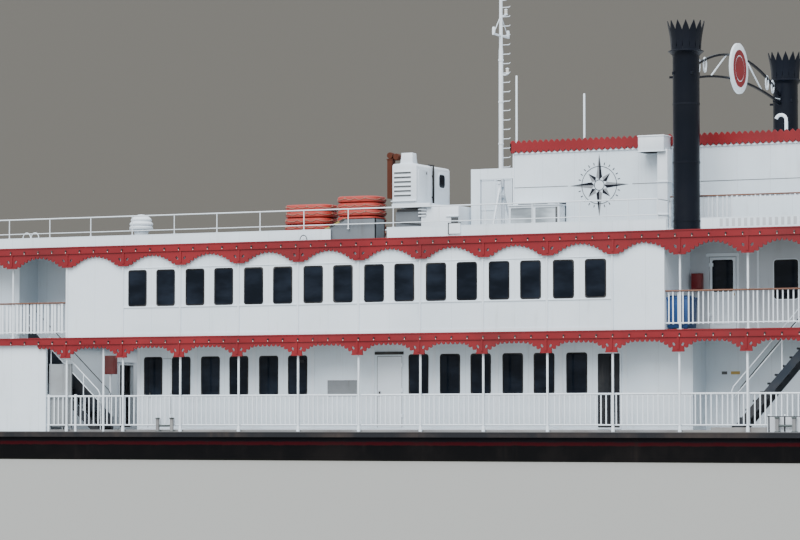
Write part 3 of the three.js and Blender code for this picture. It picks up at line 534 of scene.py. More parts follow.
def stripedFinish(name, slot, first, second, pitch, slope):
    # Diagonal warning stripes on worn paint
    made, tree, shader = startFinish(name, slot)
    place = splitPlace(tree)
    slant = math2(tree, "ADD", place["X"], math2(tree, "MULTIPLY", place["Z"], slope))
    stripe = softStep(tree, math2(tree, "PINGPONG", slant, pitch), pitch * 0.46, pitch * 0.54)
    worn = math2(tree, "MULTIPLY", softStep(tree, noiseOf(tree, 30.0, 5), 0.5, 0.7), 0.35)
    colour = blendColour(tree, worn, blendColour(tree, stripe, first, second), (0.25, 0.24, 0.22))
    tree.links.new(colour, shader["Base Color"])
    shader["Roughness"].default_value = 0.6

# Paints and bare finishes: name, slot, values; rust is an amount and a spot size
for name, slot, look in (
        ("whitePaint", "white_paint", {
            "colour": (0.76, 0.83, 0.89), "second": (0.70, 0.775, 0.84), "soil": (0.36, 0.35, 0.33), "Clouds": 0.08,
            "Runs": 0.25, "Run size": 11.0, "rust": (0.03, 6.0), "roughness": (0.38, 0.7), "bump": 0.1}),
        ("wallPaint", "white_paint", {
            "colour": (0.74, 0.83, 0.90), "second": (0.68, 0.775, 0.85), "soil": (0.38, 0.38, 0.37), "Clouds": 0.1,
            "Runs": 0.28, "Run size": 12.0, "rust": (0.05, 4.0), "roughness": (0.35, 0.7), "bump": 0.1,
            "joints": {"Pitch": vessel["bay"] * half / 2, "Offset": -vessel["firstPost"] * half, "Width": 0.003}}),
        ("redPaint", "red_paint", {
            "colour": (0.185, 0.010, 0.014), "second": (0.235, 0.016, 0.02), "soil": (0.09, 0.014, 0.015),
            "gloss": 0.3, "Run size": 14.0, "roughness": (0.42, 0.75), "bump": 0.12}),
        ("hullPaint", "hull_black", {
            "colour": (0.006, 0.006, 0.009), "second": (0.009, 0.009, 0.013), "soil": (0.016, 0.013, 0.012),
            "Runs": 0.5, "Run size": 5.0, "rust": (0.12, 3.0), "roughness": (0.5, 0.8), "bump": 0.2, "depth": 0.005,
            "ragged": 0.03, "gloss": 0.06, "joint strength": 0.3, "joints": {"Pitch": 1.2, "Offset": 0.3, "Width": 0.004},
            "bands": [(1.76, (0.04, 0.0025, 0.005)), (1.665, (0.003, 0.003, 0.0035)), (1.26, (0.005, 0.006, 0.004))]}),
        ("deckPaint", "deck_grey", {
            "colour": (0.45, 0.48, 0.5), "second": (0.38, 0.41, 0.43), "up": ((0.15, 0.165, 0.175), (0.1, 0.11, 0.11)),
            "soil": (0.1, 0.085, 0.07), "Clouds": 0.4, "Runs": 0.2, "rust": (0.12, 4.0), "roughness": (0.55, 0.9),
            "bump": 0.3}),
        ("guardPaint", "deck_grey", {
            "colour": (0.2, 0.205, 0.21), "second": (0.27, 0.27, 0.265), "gloss": 0.3, "ragged": 0.0,
            "up": ((0.2, 0.215, 0.225), (0.13, 0.13, 0.125)), "bands": [(1.999, (0.008, 0.009, 0.012))],
            "soil": (0.07, 0.05, 0.04), "Clouds": 0.5, "rust": (0.3, 5.0), "roughness": (0.5, 0.9), "bump": 0.3}),
        ("funnelPaint", "funnel_black", {
            "colour": (0.004, 0.006, 0.011), "second": (0.006, 0.008, 0.014), "soil": (0.014, 0.015, 0.018),
            "Clouds": 0.2, "Runs": 0.4, "Run size": 8.0, "roughness": (0.35, 0.6), "bump": 0.08, "gloss": 0.12}),
        ("navyPaint", "steel_grey", {
            "colour": (0.014, 0.021, 0.032), "second": (0.028, 0.035, 0.046), "gloss": 0.3, "soil": (0.09, 0.08, 0.07),
            "Clouds": 0.4, "Runs": 0.4, "roughness": (0.4, 0.7)}),
        ("greyPaint", "steel_grey", {
            "colour": (0.30, 0.33, 0.35), "second": (0.24, 0.26, 0.28), "soil": (0.12, 0.11, 0.1), "Clouds": 0.4,
            "Runs": 0.4, "rust": (0.08, 6.0), "roughness": (0.45, 0.75)}),
        ("darkGrey", "steel_grey", {
            "colour": (0.045, 0.05, 0.055), "second": (0.07, 0.075, 0.08), "roughness": (0.5, 0.8)}),
        ("slatePaint", "steel_grey", {
            "colour": (0.13, 0.15, 0.17), "second": (0.17, 0.19, 0.205), "soil": (0.07, 0.065, 0.06), "Clouds": 0.5,
            "Runs": 0.5, "rust": (0.1, 6.0), "roughness": (0.5, 0.8), "bump": 0.25}),
        ("ironPaint", "steel_grey", {
            "colour": (0.08, 0.1, 0.1), "second": (0.05, 0.06, 0.06), "soil": (0.03, 0.025, 0.02), "Clouds": 0.6,
            "Runs": 0.5, "metallic": 0.3, "roughness": (0.4, 0.7), "bump": 0.3}),
        ("rustySteel", "rusty_steel", {
            "colour": (0.055, 0.014, 0.008), "second": (0.09, 0.024, 0.011), "soil": (0.03, 0.012, 0.01), "Clouds": 0.6,
            "Runs": 0.6, "Run size": 14.0, "rust": (0.2, 6.0), "gloss": 0.2, "roughness": (0.7, 0.95), "bump": 0.6,
            "depth": 0.004, "Skin size": 90.0}),
        ("handrailWood", "wheel_red", {
            "colour": (0.13, 0.055, 0.032), "second": (0.19, 0.085, 0.05), "soil": (0.07, 0.045, 0.035), "Clouds": 0.4,
            "Runs": 0.2, "Skin size": 120.0, "roughness": (0.35, 0.65), "bump": 0.3}),
        ("floatOrange", "float_orange", {
            "colour": (0.40, 0.028, 0.018), "second": (0.40, 0.055, 0.04), "soil": (0.13, 0.03, 0.03), "Clouds": 0.5,
            "Runs": 0.5, "roughness": (0.55, 0.85), "bump": 0.5, "depth": 0.004, "Skin size": 45.0}),
        ("ropeFinish", "float_orange", {
            "colour": (0.26, 0.13, 0.09), "second": (0.36, 0.22, 0.16), "Clouds": 0.4, "roughness": (0.8, 0.95),
            "bump": 0.7, "Skin size": 200.0}),
        ("wheelPaint", "wheel_red", {
            "colour": (0.27, 0.022, 0.02), "second": (0.2, 0.02, 0.02), "soil": (0.06, 0.05, 0.03), "Clouds": 0.6,
            "Runs": 0.4, "rust": (0.1, 6.0), "roughness": (0.5, 0.85), "bump": 0.5, "Skin size": 80.0}),
        ("blackRubber", "funnel_black", {
            "colour": (0.004, 0.005, 0.007), "second": (0.008, 0.008, 0.01), "gloss": 0.2, "Clouds": 0.2,
            "roughness": (0.45, 0.7), "bump": 0.1}),
        ("binBlue", "hull_black", {
            "colour": (0.012, 0.05, 0.15), "second": (0.018, 0.065, 0.19), "soil": (0.04, 0.05, 0.09), "gloss": 0.3,
            "roughness": (0.4, 0.65), "bump": 0.3}),
        ("boxRed", "red_paint", {
            "colour": (0.2, 0.008, 0.012), "second": (0.14, 0.007, 0.012), "gloss": 0.3, "roughness": (0.3, 0.6),
            "bump": 0.1}),
        ("yellowPlate", "steel_grey", {
            "colour": (0.55, 0.36, 0.05), "second": (0.45, 0.3, 0.06), "Clouds": 0.4, "roughness": (0.4, 0.7)}),
        ("brassFinish", "steel_grey", {
            "colour": (0.5, 0.38, 0.16), "second": (0.35, 0.25, 0.1), "metallic": 0.9, "Clouds": 0.4,
            "roughness": (0.25, 0.6)}),
        ("shadowFinish", "steel_grey", {
            "colour": (0.012, 0.014, 0.018), "second": (0.022, 0.024, 0.028), "gloss": 0.2, "roughness": (0.7, 0.9)}),
        # Grey paint darker than the real paint: partly the walls' own grey, partly painted shade for recessed walls and
        # the coaming slots
        ("innerPaint", "white_paint", {
            "colour": (0.52, 0.56, 0.60), "second": (0.45, 0.49, 0.53), "soil": (0.2, 0.19, 0.18), "Clouds": 0.2,
            "rust": (0.04, 6.0), "roughness": (0.4, 0.7), "bump": 0.1})):
    paint(name, slot, look)
glassFinish("windowGlass", "hull_black", (0.003, 0.005, 0.009))
glassFinish("paleGlass", "steel_grey", (0.24, 0.27, 0.29), 0.12)
lampFinish("lampWhite", "steel_grey", (0.7, 0.68, 0.62), 0.05)
stripedFinish("hazard", "steel_grey", (0.28, 0.23, 0.06), (0.02, 0.02, 0.02), 0.22 * half, 1.0)
print("finishes made")

# Camera low over the water off the starboard bow, soft daylight, a pale floor at the waterline and a grey backdrop
view = {
    "place": (20.55, -41.3, 1.1), "bearing": 26.0, "pitch": 2.79, "lens": 142.8, "daylight": 1.35, "sun": 4.6,
    "passage": 16, "reach": 200, "backdrop": 196, "tall": 60,
}

def facing(thing, way):
    thing.rotation_euler = Vector(way).to_track_quat("-Z", "Y").to_euler()

def makeStudio():
    camera = bpy.data.cameras.new("camera")
    camera.lens, camera.sensor_width, camera.clip_end = view["lens"], 36, 600
    seen = asObject("camera", camera)
    seen.location = view["place"]
    level, rise = polar(1, math.radians(view["pitch"]))
    ahead, aside = polar(level, math.radians(view["bearing"]))
    facing(seen, (-aside, ahead, rise))
    bpy.context.scene.camera = seen

    world = bpy.data.worlds.new("softDaylight")
    world.use_nodes = True
    sky = world.node_tree.nodes["Background"].inputs
    sky["Color"].default_value, sky["Strength"].default_value = (0.83, 0.88, 0.94, 1), view["daylight"]
    bpy.context.scene.world = world
    sun = bpy.data.lights.new("softSun", "SUN")
    sun.energy, sun.angle = view["sun"], math.radians(50)
    facing(asObject("softSun", sun), (-0.1, 0.85, -1.0))

    # Fill light in the passage abaft the main house
    under = bpy.data.lights.new("passageFill", "AREA")
    under.energy, under.shape, under.size, under.size_y = view["passage"], "RECTANGLE", 1.0, 4.0
    hung = asObject("passageFill", under)
    hung.location = (-3.55, 0, 2.22)
    hung.visible_camera = False
    water, reach, away = vessel["waterline"] * half, view["reach"], view["backdrop"]
    for name, colour, low, high in (
            ("floor", (0.28, 0.28, 0.26), (-reach, water), (reach, water)),
            ("backdrop", (0.10, 0.094, 0.082), (away, water), (away, view["tall"]))):
        sheet = bpy.data.meshes.new(name)
        sheet.from_pydata([(-reach, *low), (reach, *low), (reach, *high), (-reach, *high)], [], [(0, 1, 2, 3)])
        made, tree, shader = startFinish(name, None)
        shader["Base Color"].default_value = (*colour, 1)
        shader["Roughness"].default_value = 0.85
        sheet.materials.append(made)
        asObject(name, sheet)

makeStudio()
print("camera and lights ready")

# Walls, decks and hull keep their solids and get their finishes
def finishNodes(finish, *names):
    for name in names:
        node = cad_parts[name]
        if not node.data.materials:
            node.data.materials.append(finishes[finish][0])
        for place in node.material_slots:
            place.material = finishes[finish][0]

# Red fretwork under both deck edges: a fascia, a scalloped strip in bays, and a bracket at every post
fretwork = {
    "fascia": 0.2,
    "lobe": 0.145,
    "lampPitch": 0.4715,
    "scroll": (0.125, 0.67, 0.036, 1.5, 0.9),
    # deck: top, end of the fascia, shift of the bays, then first post, last post and depth of the brackets,
    # then distance from the post and depth as a share of the bracket's
    "lower": (vessel["upperDeck"], 16.6, 0.0, ((1, 13, 0.585),),
              [(0.16, 0.76), (0.27, 0.67), (0.36, 0.55), (0.45, 0.46), (0.55, 0.425), (0.75, 0.42), (0.943, 0.42)]),
    "upper": (vessel["topDeck"], 16.0, 0.05, ((-3, 10, 0.594), (11, 13, 0.65)),
              [(0.19, 0.90), (0.30, 0.76), (0.43, 0.635), (0.56, 0.54), (0.68, 0.475), (0.81, 0.435), (0.943, 0.42)]),
}

def alongCurve(points, step):
    # Points at an even step along a line of points, both ends kept
    lengths = [math.dist(a, b) for a, b in zip(points, points[1:])]
    count = max(1, round(sum(lengths) / step))
    found = []
    for number in range(count + 1):
        left = sum(lengths) * number / count
        for a, b, length in zip(points, points[1:], lengths):
            if left <= length + 1e-9:
                found.append(tuple(p + (q - p) * left / length for p, q in zip(a, b)))
                break
            left -= length
    return found

def lobes(points, depth=0.4, steps=3, power=0.7):
    # Small round lobes between neighbouring points, bulging to the right of the way they run
    edge = [points[0]]
    for a, b in zip(points, points[1:]):
        along = Vector(b) - Vector(a)
        out = Vector((along.y, -along.x)) * depth
        for share in (step / (steps + 1) for step in range(1, steps + 1)):
            edge.append(tuple(Vector(a) + along * share + out * math.sin(math.pi * share) ** power))
        edge.append(b)
    return edge

def fretBay(arch, deep):
    # Outline and pierced scrolls of one bay, centred on its post; z is 0 at the deck's top.
    edge = lobes(alongCurve([(x, -share * deep) for x, share in arch], fretwork["lobe"]), 0.55)
    after = [(0.165, -deep), *edge]
    middle = vessel["bay"] / 2
    outline = [*[(-x, z) for x, z in reversed(after)], *after, (middle, -0.02), (-middle, -0.02)]
    x, share, size, stretch, turn = fretwork["scroll"]
    return outline, [circle(side * x, -share * deep, size, 8, stretch, side * turn) for side in sides]

def makeFretwork():
    middle, fascia, aft = vessel["bay"] / 2, fretwork["fascia"], -16.8
    runs = []
    for deck in ("lower", "upper"):
        top, front, shift, rows, arch = fretwork[deck]
        for side, called in sides.items():
            node = f"{deck}_fretwork_{called}"
            trim = Shell()
            for number, (first, last, deep) in enumerate(rows):
                bay = Shell().plate(*fretBay(arch, deep), 0.03, lambda a, u, t: (a, t, u))
                run = fromTo(postX(first) + shift, postX(last) + shift, side * 4.552, top, Pitch=vessel["bay"],
                             Turn=(0, 0, math.pi if side == starboard else 0.0))
                grown(f"{deck}Fretwork_{number}_{called}", rowTree, bay, "redPaint", node, smooth=False, runs=[run])
                low = top - deep
                for x in (postX(post) + shift for post in range(first, last + 1)):
                    trim.box((x - 0.17, x + 0.17), (side * 4.548, side * 4.598), (low - 0.002, low + 0.036))
                    trim.box((x - 0.03, x + 0.03), (side * 4.585, side * 4.6), (low + 0.06, top - fascia))
            trim.box((aft, front), (side * 4.541, side * 4.596), (top - fascia, top))
            for z in ((top - 0.028, top + 0.004), (top - fascia - 0.006, top - fascia + 0.016)):
                trim.box((aft - 0.006, front + 0.006), (side * 4.59, side * 4.611), z)
            for a, b in ((aft, postX(rows[0][0]) + shift - middle), (postX(rows[-1][1]) + shift + middle, front)):
                if deck == "upper" or a > 0:  # the fascia is plain over the engine room's screens
                    line = alongCurve([(a, -0.25), (b, -0.25)], fretwork["lobe"])
                    trim.plate([*lobes(line), (b, -0.02), (a, -0.02)], [], 0.03,
                               lambda x, z, t: (x, side * (4.552 + t), top + z))
            makeFlat(f"{deck}Fascia_{called}", trim, "redPaint", node)
            runs.append(fromTo(-16.6, front - 0.2, side * 4.618, top - 0.125, Pitch=fretwork["lampPitch"]))

    cap = Shell().turned([(0, 0.026), (0.02, 0.026), (0.026, -0.006), (0.012, -0.024), (0, -0.024)], corners=8)
    bulb = [(0, -0.025), (0.006, -0.025), (0.012, -0.04), (0.012, -0.052), (0.006, -0.06), (0, -0.062)]
    grown("lampCaps", rowTree, cap, "shadowFinish", smooth=False, runs=runs)
    grown("lampBulbs", rowTree, Shell().turned(bulb, corners=8), "lampWhite", slot="white_paint", runs=runs)
    print("fretwork made")

makeFretwork()

# Railings of the main deck with the columns that carry the upper deck
mainRail = {
    "ends": (-8.398, postX(13)), "top": 3.04, "low": 2.19, "pitch": 0.148, "baluster": 0.031, "column": 0.031,
    "line": vessel["railLine"], "columnLine": 4.49, "gates": (-8.34, -7.43), "stubs": (13.62, 14.05, 14.5),
}

def balusterRow(name, runs, width, low, high, *replaced, thick=0.02):
    slat = Shell().post(0, 0, width / 2, (low, high), thick / 2)
    grown(name, rowTree, slat, "whitePaint", *replaced, smooth=False, runs=runs)

def makeMainRailings():
    (first, last), high, low = mainRail["ends"], mainRail["top"], mainRail["low"]
    for side, called in sides.items():
        y, at, node = side * mainRail["line"], side * mainRail["columnLine"], f"main_railing_{called}"
        shell = Shell()
        for z, size in ((high - 0.025, 0.034), (low, 0.026)):
            shell.rod((first, y, z), (last, y, z), size / 1.3, 8)
        for x in (postX(number) for number in range(1, 14)):
            shell.tube([(x, at, 2.001), (x, at, mainCeiling)], mainRail["column"], 12)
            shell.turned([(0, mainFloor), (0.05, mainFloor), (0.05, 2.1), (0.036, 2.16), (0, 2.16)], (x, at, 0), 12)
            shell.post(x, at, 0.055, (4.53, mainCeiling))
            for height in (high - 0.025, low):
                shell.rod((x, y, height), (x, at, height), 0.014, 6)
        for x in mainRail["gates"]:
            shell.post(x, y, 0.03, (mainFloor, high + 0.03))
        shell.tube([(-6.5, y, mainFloor), (-6.5, y, mainCeiling)], 0.03, 10)
        for x in mainRail["stubs"]:
            shell.post(x, y, 0.02, (mainFloor, 2.47), 0.04)
        makePiece(f"mainRailing_{called}", shell, "whitePaint", node)
        run = fromTo(first + 0.09, last - 0.09, y, Pitch=mainRail["pitch"], Uneven=0.003, Seed=3 + side)
        balusterRow(f"mainBalusters_{called}", [run], mainRail["baluster"], low, high - 0.03, node)
        x = (mainRail["stubs"][0] - 0.05, last + 0.03)
        plate = Shell().box(x, (side * 4.44, side * 4.46), (mainFloor, 2.42))
        plate.box(x, (side * 4.41, side * 4.46), (2.40, 2.425))
        makeFlat(f"bulwark_{called}", plate, "innerPaint", node)
    print("main railings made")

makeMainRailings()

# Verandas at both ends of the upper deck: white slats under a brown handrail, with posts up to the top deck
veranda = {
    "railTop": 5.74, "railLow": 4.87, "slatLow": 4.84,
    "aft": {"pitch": 0.12, "width": 0.075, "corner": -16.67, "wall": -7.694, "posts": (0, -1, -2, -3)},
    "forward": {"pitch": 0.14, "width": 0.031, "corner": 15.87, "wall": 10.76, "posts": (11, 12, 13)},
}

def makeVerandas():
    line, high, low = vessel["railLine"], veranda["railTop"], veranda["railLow"]
    for place, ahead in (("aft", -1), ("forward", 1)):
        look = veranda[place]
        node = f"veranda_railing_{place}"
        corner, wall = look["corner"], look["wall"]
        frames, wood = Shell(), Shell()
        spots = [(postX(number), side * line) for number in look["posts"] for side in sides]
        for x, y in spots + [(corner, line * share / 2) for share in range(-2, 3)]:
            frames.tube([(x, y, upperFloor), (x, y, upperCeiling)], 0.03, 10)
            frames.post(x, y, 0.06, (upperFloor, 4.718))
            frames.post(x, y, 0.05, (7.15, upperCeiling))
        x = sorted((wall + ahead * 0.002, corner + ahead * 0.045))
        for y in (-line, line):
            frames.rod((wall, y, low), (corner, y, low), 0.018, 8)
            rail = rounded((y - 0.045, y + 0.045), (high - 0.045, high), 0.018, 3)
            wood.plate(rail, [], x[1] - x[0], onFront(x[0]))
        frames.rod((corner, -line, low), (corner, line, low), 0.018, 8)
        rail = rounded((corner - 0.045, corner + 0.045), (high - 0.045, high), 0.018, 3)
        wood.plate(rail, [], 2 * line, onSide(-line))
        makePiece(f"verandaPosts_{place}", frames, "whitePaint", node)
        makePiece(f"verandaHandrail_{place}", wood, "handrailWood", node)
        same = {"Pitch": look["pitch"], "Uneven": 0.003}
        runs = [fromTo(wall + ahead * 0.08, corner - ahead * 0.06, y, Seed=5, **same) for y in (-line, line)]
        ends = {"From": (corner, 0.06 - line, 0), "To": (corner, line - 0.06, 0), "Turn": (0, 0, right)}
        runs.append({**ends, "Seed": 6, **same})
        balusterRow(f"verandaSlats_{place}", runs, look["width"], veranda["slatLow"], high - 0.04, node, thick=0.018)
    print("verandas made")

makeVerandas()

# Stairs: navy stringers, grated treads and thin white handrails
stairs = {
    "width": (3.7, 4.33), "steps": 12, "stringer": 0.3, "handrail": 1.06, "closed": 0.42,
    "flights": {"aft": (-6.6, -9.5), "forward": (12.48, 14.9)},
}

def makeStairs():
    low, high = mainFloor, vessel["upperDeck"]
    inner, outer = stairs["width"]
    rail, deep, steps = stairs["handrail"], stairs["stringer"], stairs["steps"]
    for place, (foot, head) in stairs["flights"].items():
        run, rise = head - foot, high - low
        for side, called in sides.items():
            node = f"stairs_{place}_{called}"
            steel, white = Shell(), Shell()
            for y in (inner, outer - 0.04):
                raised = stairs["closed"] if y == inner and place == "aft" else 0.0
                outline = [(foot, low), (foot + deep * run / rise, low), (head, high - deep), (head, high + raised)]
                steel.plate([*outline, (foot, low + raised)], [], 0.04, onSide(y, side))
                at = lambda share, up: (foot + run * share, side * (y + 0.02), low + rise * share + up)
                tube = [at(0.02, 0.0), at(0.03, rail - 0.06), at(0.05, rail), at(0.99, rail), at(0.995, 0.0)]
                if y == inner:
                    steel.tube(tube, 0.014, 8)
                    continue
                white.tube(tube, 0.015, 8)
                white.rod(at(0.03, 0.76), at(0.99, 0.76), 0.012, 8)
                for share in (0.22, 0.6):
                    white.rod(at(share, 0.0), at(share, rail), 0.014, 8)
            y = (side * (inner + 0.038), side * (outer - 0.038))
            for number in range(1, steps):
                x = foot + run * (number - 0.35) / steps
                z = low + rise * number / steps - 0.06
                for offset, wide, below, above in (
                        (0, 0.1, -0.012, 0), (-0.094, 0.006, -0.05, -0.012), (0.094, 0.006, -0.05, -0.012),
                        *[(bar * 0.04, 0.004, 0, 0.004) for bar in range(-2, 3)]):
                    steel.box((x + offset - wide, x + offset + wide), y, (z + below, z + above))
            makeFlat(f"stairsSteel_{place}_{called}", steel, "navyPaint", node)
            makePiece(f"stairsRails_{place}_{called}", white, "whitePaint", node)
    print("stairs made")

makeStairs()

# Railing round the bow, following the deck's edge
bow = {
    "line": [(15.188, 4.42), (17.01, 4.16), (19.01, 3.41), (20.81, 2.21), (21.91, 1.06), (22.36, 0.31)],
    "pitch": 0.148, "baluster": 0.038, "top": 3.04, "low": 2.17,
}

def makeBowRailing():
    high, node = bow["top"], "bow_railing"
    line = [(x, -y) for x, y in bow["line"]] + bow["line"][::-1]
    posts, bulwark, runs = Shell(), Shell(), []
    for x, y in line:
        posts.tube([(x, y, mainFloor), (x, y, high + 0.01)], 0.03, 10)
    for a, b in zip(line, line[1:]):
        for z, size in ((high - 0.025, 0.026), (bow["low"], 0.02), (2.6, 0.014)):
            posts.rod((*a, z), (*b, z), size, 8)
        bulwark.bar((*a, 2.21), (*b, 2.21), 0.022, 0.418)
        bulwark.bar((*a, 2.425), (*b, 2.425), 0.05, 0.02)
        for x, y in alongCurve([a, b], 0.7):
            bulwark.post(x, y, 0.02, (mainFloor, 2.41), 0.03)
        inset = 0.08 / math.dist(a, b)
        start, end = (tuple(p + (q - p) * share for p, q in zip(a, b)) for share in (inset, 1 - inset))
        runs.append({"From": (*start, 0), "To": (*end, 0), "Turn": (0, 0, math.atan2(b[1] - a[1], b[0] - a[0])),
                     "Pitch": bow["pitch"], "Uneven": 0.003, "Seed": 8})
    makePiece("bowRailing", posts, "whitePaint", node)
    makeFlat("bowBulwark", bulwark, "innerPaint", node)
    balusterRow("bowBalusters", runs, bow["baluster"], 2.43, high - 0.03, node)
    print("bow railing made")

makeBowRailing()

# Windows: a white frame, a black gasket with rounded corners and a dark pane in every opening
window = {"width": 0.59, "height": 1.02, "corner": 0.075, "gasket": 0.022, "step": 0.463, "high": 6.09}
openings = {
    # half breadth: middle height, bays, height as a share
    insetWall: (3.583, (2, 3, 4, 6, 7, 8, 9), 1.075),
    sideWall: (window["high"], (2, 3, 4, 5, 6, 7, 8, 9), 1.0),
}

def ringPlate(corner, wall, depth, back, wider):
    # A rounded ring in x and z round the opening; wider is how far it laps over the wall, depth goes towards -y.
    x, z = ((-size / 2 - wider, size / 2 + wider) for size in (window["width"], window["height"]))
    outer = max(0.012, window["corner"] + corner + wider * 0.3)
    return Shell().panel(onSide(back, starboard), x, z, outer, depth, wall + wider, window["corner"] + corner)

def makeWindows():
    step, high, spots = window["step"], window["high"], []
    for side in sides:
        turn = (0, 0, 0.0 if side == starboard else math.pi)
        for wall, (z, bays, tall) in openings.items():
            for bay, way in ((bay, way) for bay in bays for way in (-1, 1)):
                if wall != insetWall or (bay, way) not in ((9, 1), (6, -1)):  # doors stand there
                    spots.append(((postX(bay + 0.5) + way * step, side * wall, z), turn, (1, 1, tall)))
        for way in (-1, 1):
            spots.append(((postX(-1.5) + way * step, side * insetWall, high), turn, (1, 1, 1)))
        spots.append(((13.47, side * narrowWall, 6.05), turn, (1.085, 1, 1)))
    spots += [((15.0, y, high), (0, 0, right), (1.186, 1, 1)) for y in (-1.95, -0.65, 0.65, 1.95)]
    spots += [((-14.6, y, high), (0, 0, -right), (1, 1, 1)) for y in (-2.2, 2.2)]
    frames = ringPlate(0.02, -0.015, 0.010, -0.002, 0.04).join(ringPlate(-0.01, 0.03, 0.05, -0.06, -0.001))
    gasket = ringPlate(-0.004, window["gasket"], 0.014, -0.002, 0.014)
    x, z = ((-size / 2, size / 2) for size in (window["width"], window["height"]))
    glass = Shell().panel(onSide(-0.006, starboard), x, z, window["corner"], 0.012)
    for name, shape, finish in (("windowFrames", frames, "whitePaint"), ("windowGaskets", gasket, "blackRubber"),
                                ("windowPanes", glass, "windowGlass")):
        grown(name, pointTree, shape, finish, carrier=pointCarrier(spots))
    print("windows made")

makeWindows()

# Deckhouses: a red scalloped crest, a compass figure, hatch panes, boarding and a thin dark line
roof = {"x": (5.5, 15.26), "half": 2.66, "low": 9.675, "lobe": 0.165, "board": (0.085, 0.285), "deck": 9.80}

def crestEdge(length):
    # Outline of one crest board: shallow lobes below, higher ones above
    low, high = roof["board"]
    return [point for ends in ([(0, low), (length, low)], [(length, high), (0, high)])
            for point in lobes(alongCurve(ends, roof["lobe"]), 0.5, power=1.2)]

def makeRoofs():
    (x0, x1), wide, deck, low = roof["x"], roof["half"], roof["deck"], roof["low"]
    crest = Shell()
    for side in sides:
        crest.plate(crestEdge(x1 - x0), [], 0.03, lambda a, u, t: (x0 + a, side * (wide - 0.03 + t), low + u))
    for end, into in ((x0, 1), (x1, -1)):
        crest.plate(crestEdge(2 * wide), [], 0.03, lambda a, u, t: (end + into * t, a - wide, low + u))
    crest.box((x0 + 0.01, x1 - 0.01), (0.01 - wide, wide - 0.01), (9.765, deck))
    makeFlat("crestRed", crest, "redPaint", "deckhouse_roofs")
    inner = (x0 + 0.06, x1 - 0.06)
    white = Shell().boxes((*inner, -2.601, 2.601, 9.701, 9.766), (*inner, -2.6, 2.6, deck, 9.81))
    for x, tip in ((5.58, 11.87), (7.61, 11.28)):
        white.turned([(0, deck), (0.07, deck), (0.07, 9.84), (0.03, 9.86), (0.028, tip - 0.02), (0.02, tip), (0, tip)],
                     (x, -2.4, 0), 10)
    bend = [(x, 0, z) for x, z in arc(12.45, 10.54, 0.15, 0.155, 20, 160, 7)]
    white.tube([(12.6, 0, 9.74), (12.6, 0, 10.50), *bend], 0.046, 14)
    white.turned([(0, deck), (0.11, deck), (0.11, 9.82), (0.06, 9.84), (0, 9.84)], (12.6, 0, 0), 14)
    makePiece("roofPipes", white, "whitePaint", "deckhouse_roofs")

compass = {"at": (8.13, 8.73), "points": (0.86, 0.45), "centre": 0.15, "ring": 0.52, "tick": (0.56, 0.63)}

def makeCompass():
    # Eight tapered points, half dark and half grey, round an open centre, in a thin ring with ticks
    place = onSide(narrowWall + 0.0005, starboard)
    middle = Vector(compass["at"])
    dark, grey = Shell(), Shell()
    for number in range(24):
        aside, ahead = (Vector(polar(1, turn)) for turn in (-math.pi * number / 12, right - math.pi * number / 12))
        if number % 3 == 0:
            reach = compass["points"][number % 2]
            for shell, way in ((dark, 1), (grey, -1)):
                corners = (ahead * compass["centre"], ahead * 0.22 + aside * way * 0.085, ahead * reach)
                shell.plate([middle + corner for corner in corners[::-way]], [], 0.007, place)
        if number % 6:
            inner, outer = (ahead * reach for reach in compass["tick"])
            thin = aside * 0.011
            corners = (inner - thin, outer - thin, outer + thin, inner + thin)
            dark.plate([middle + corner for corner in corners], [], 0.006, place)
    for radius, wide in ((compass["centre"], 0.016), (compass["ring"], 0.014)):
        dark.plate(circle(*middle, radius, 48), [circle(*middle, radius - wide, 48)], 0.008, place)
    makeFlat("compassFigure", dark, "funnelPaint")
    makeFlat("compassShades", grey, "greyPaint")

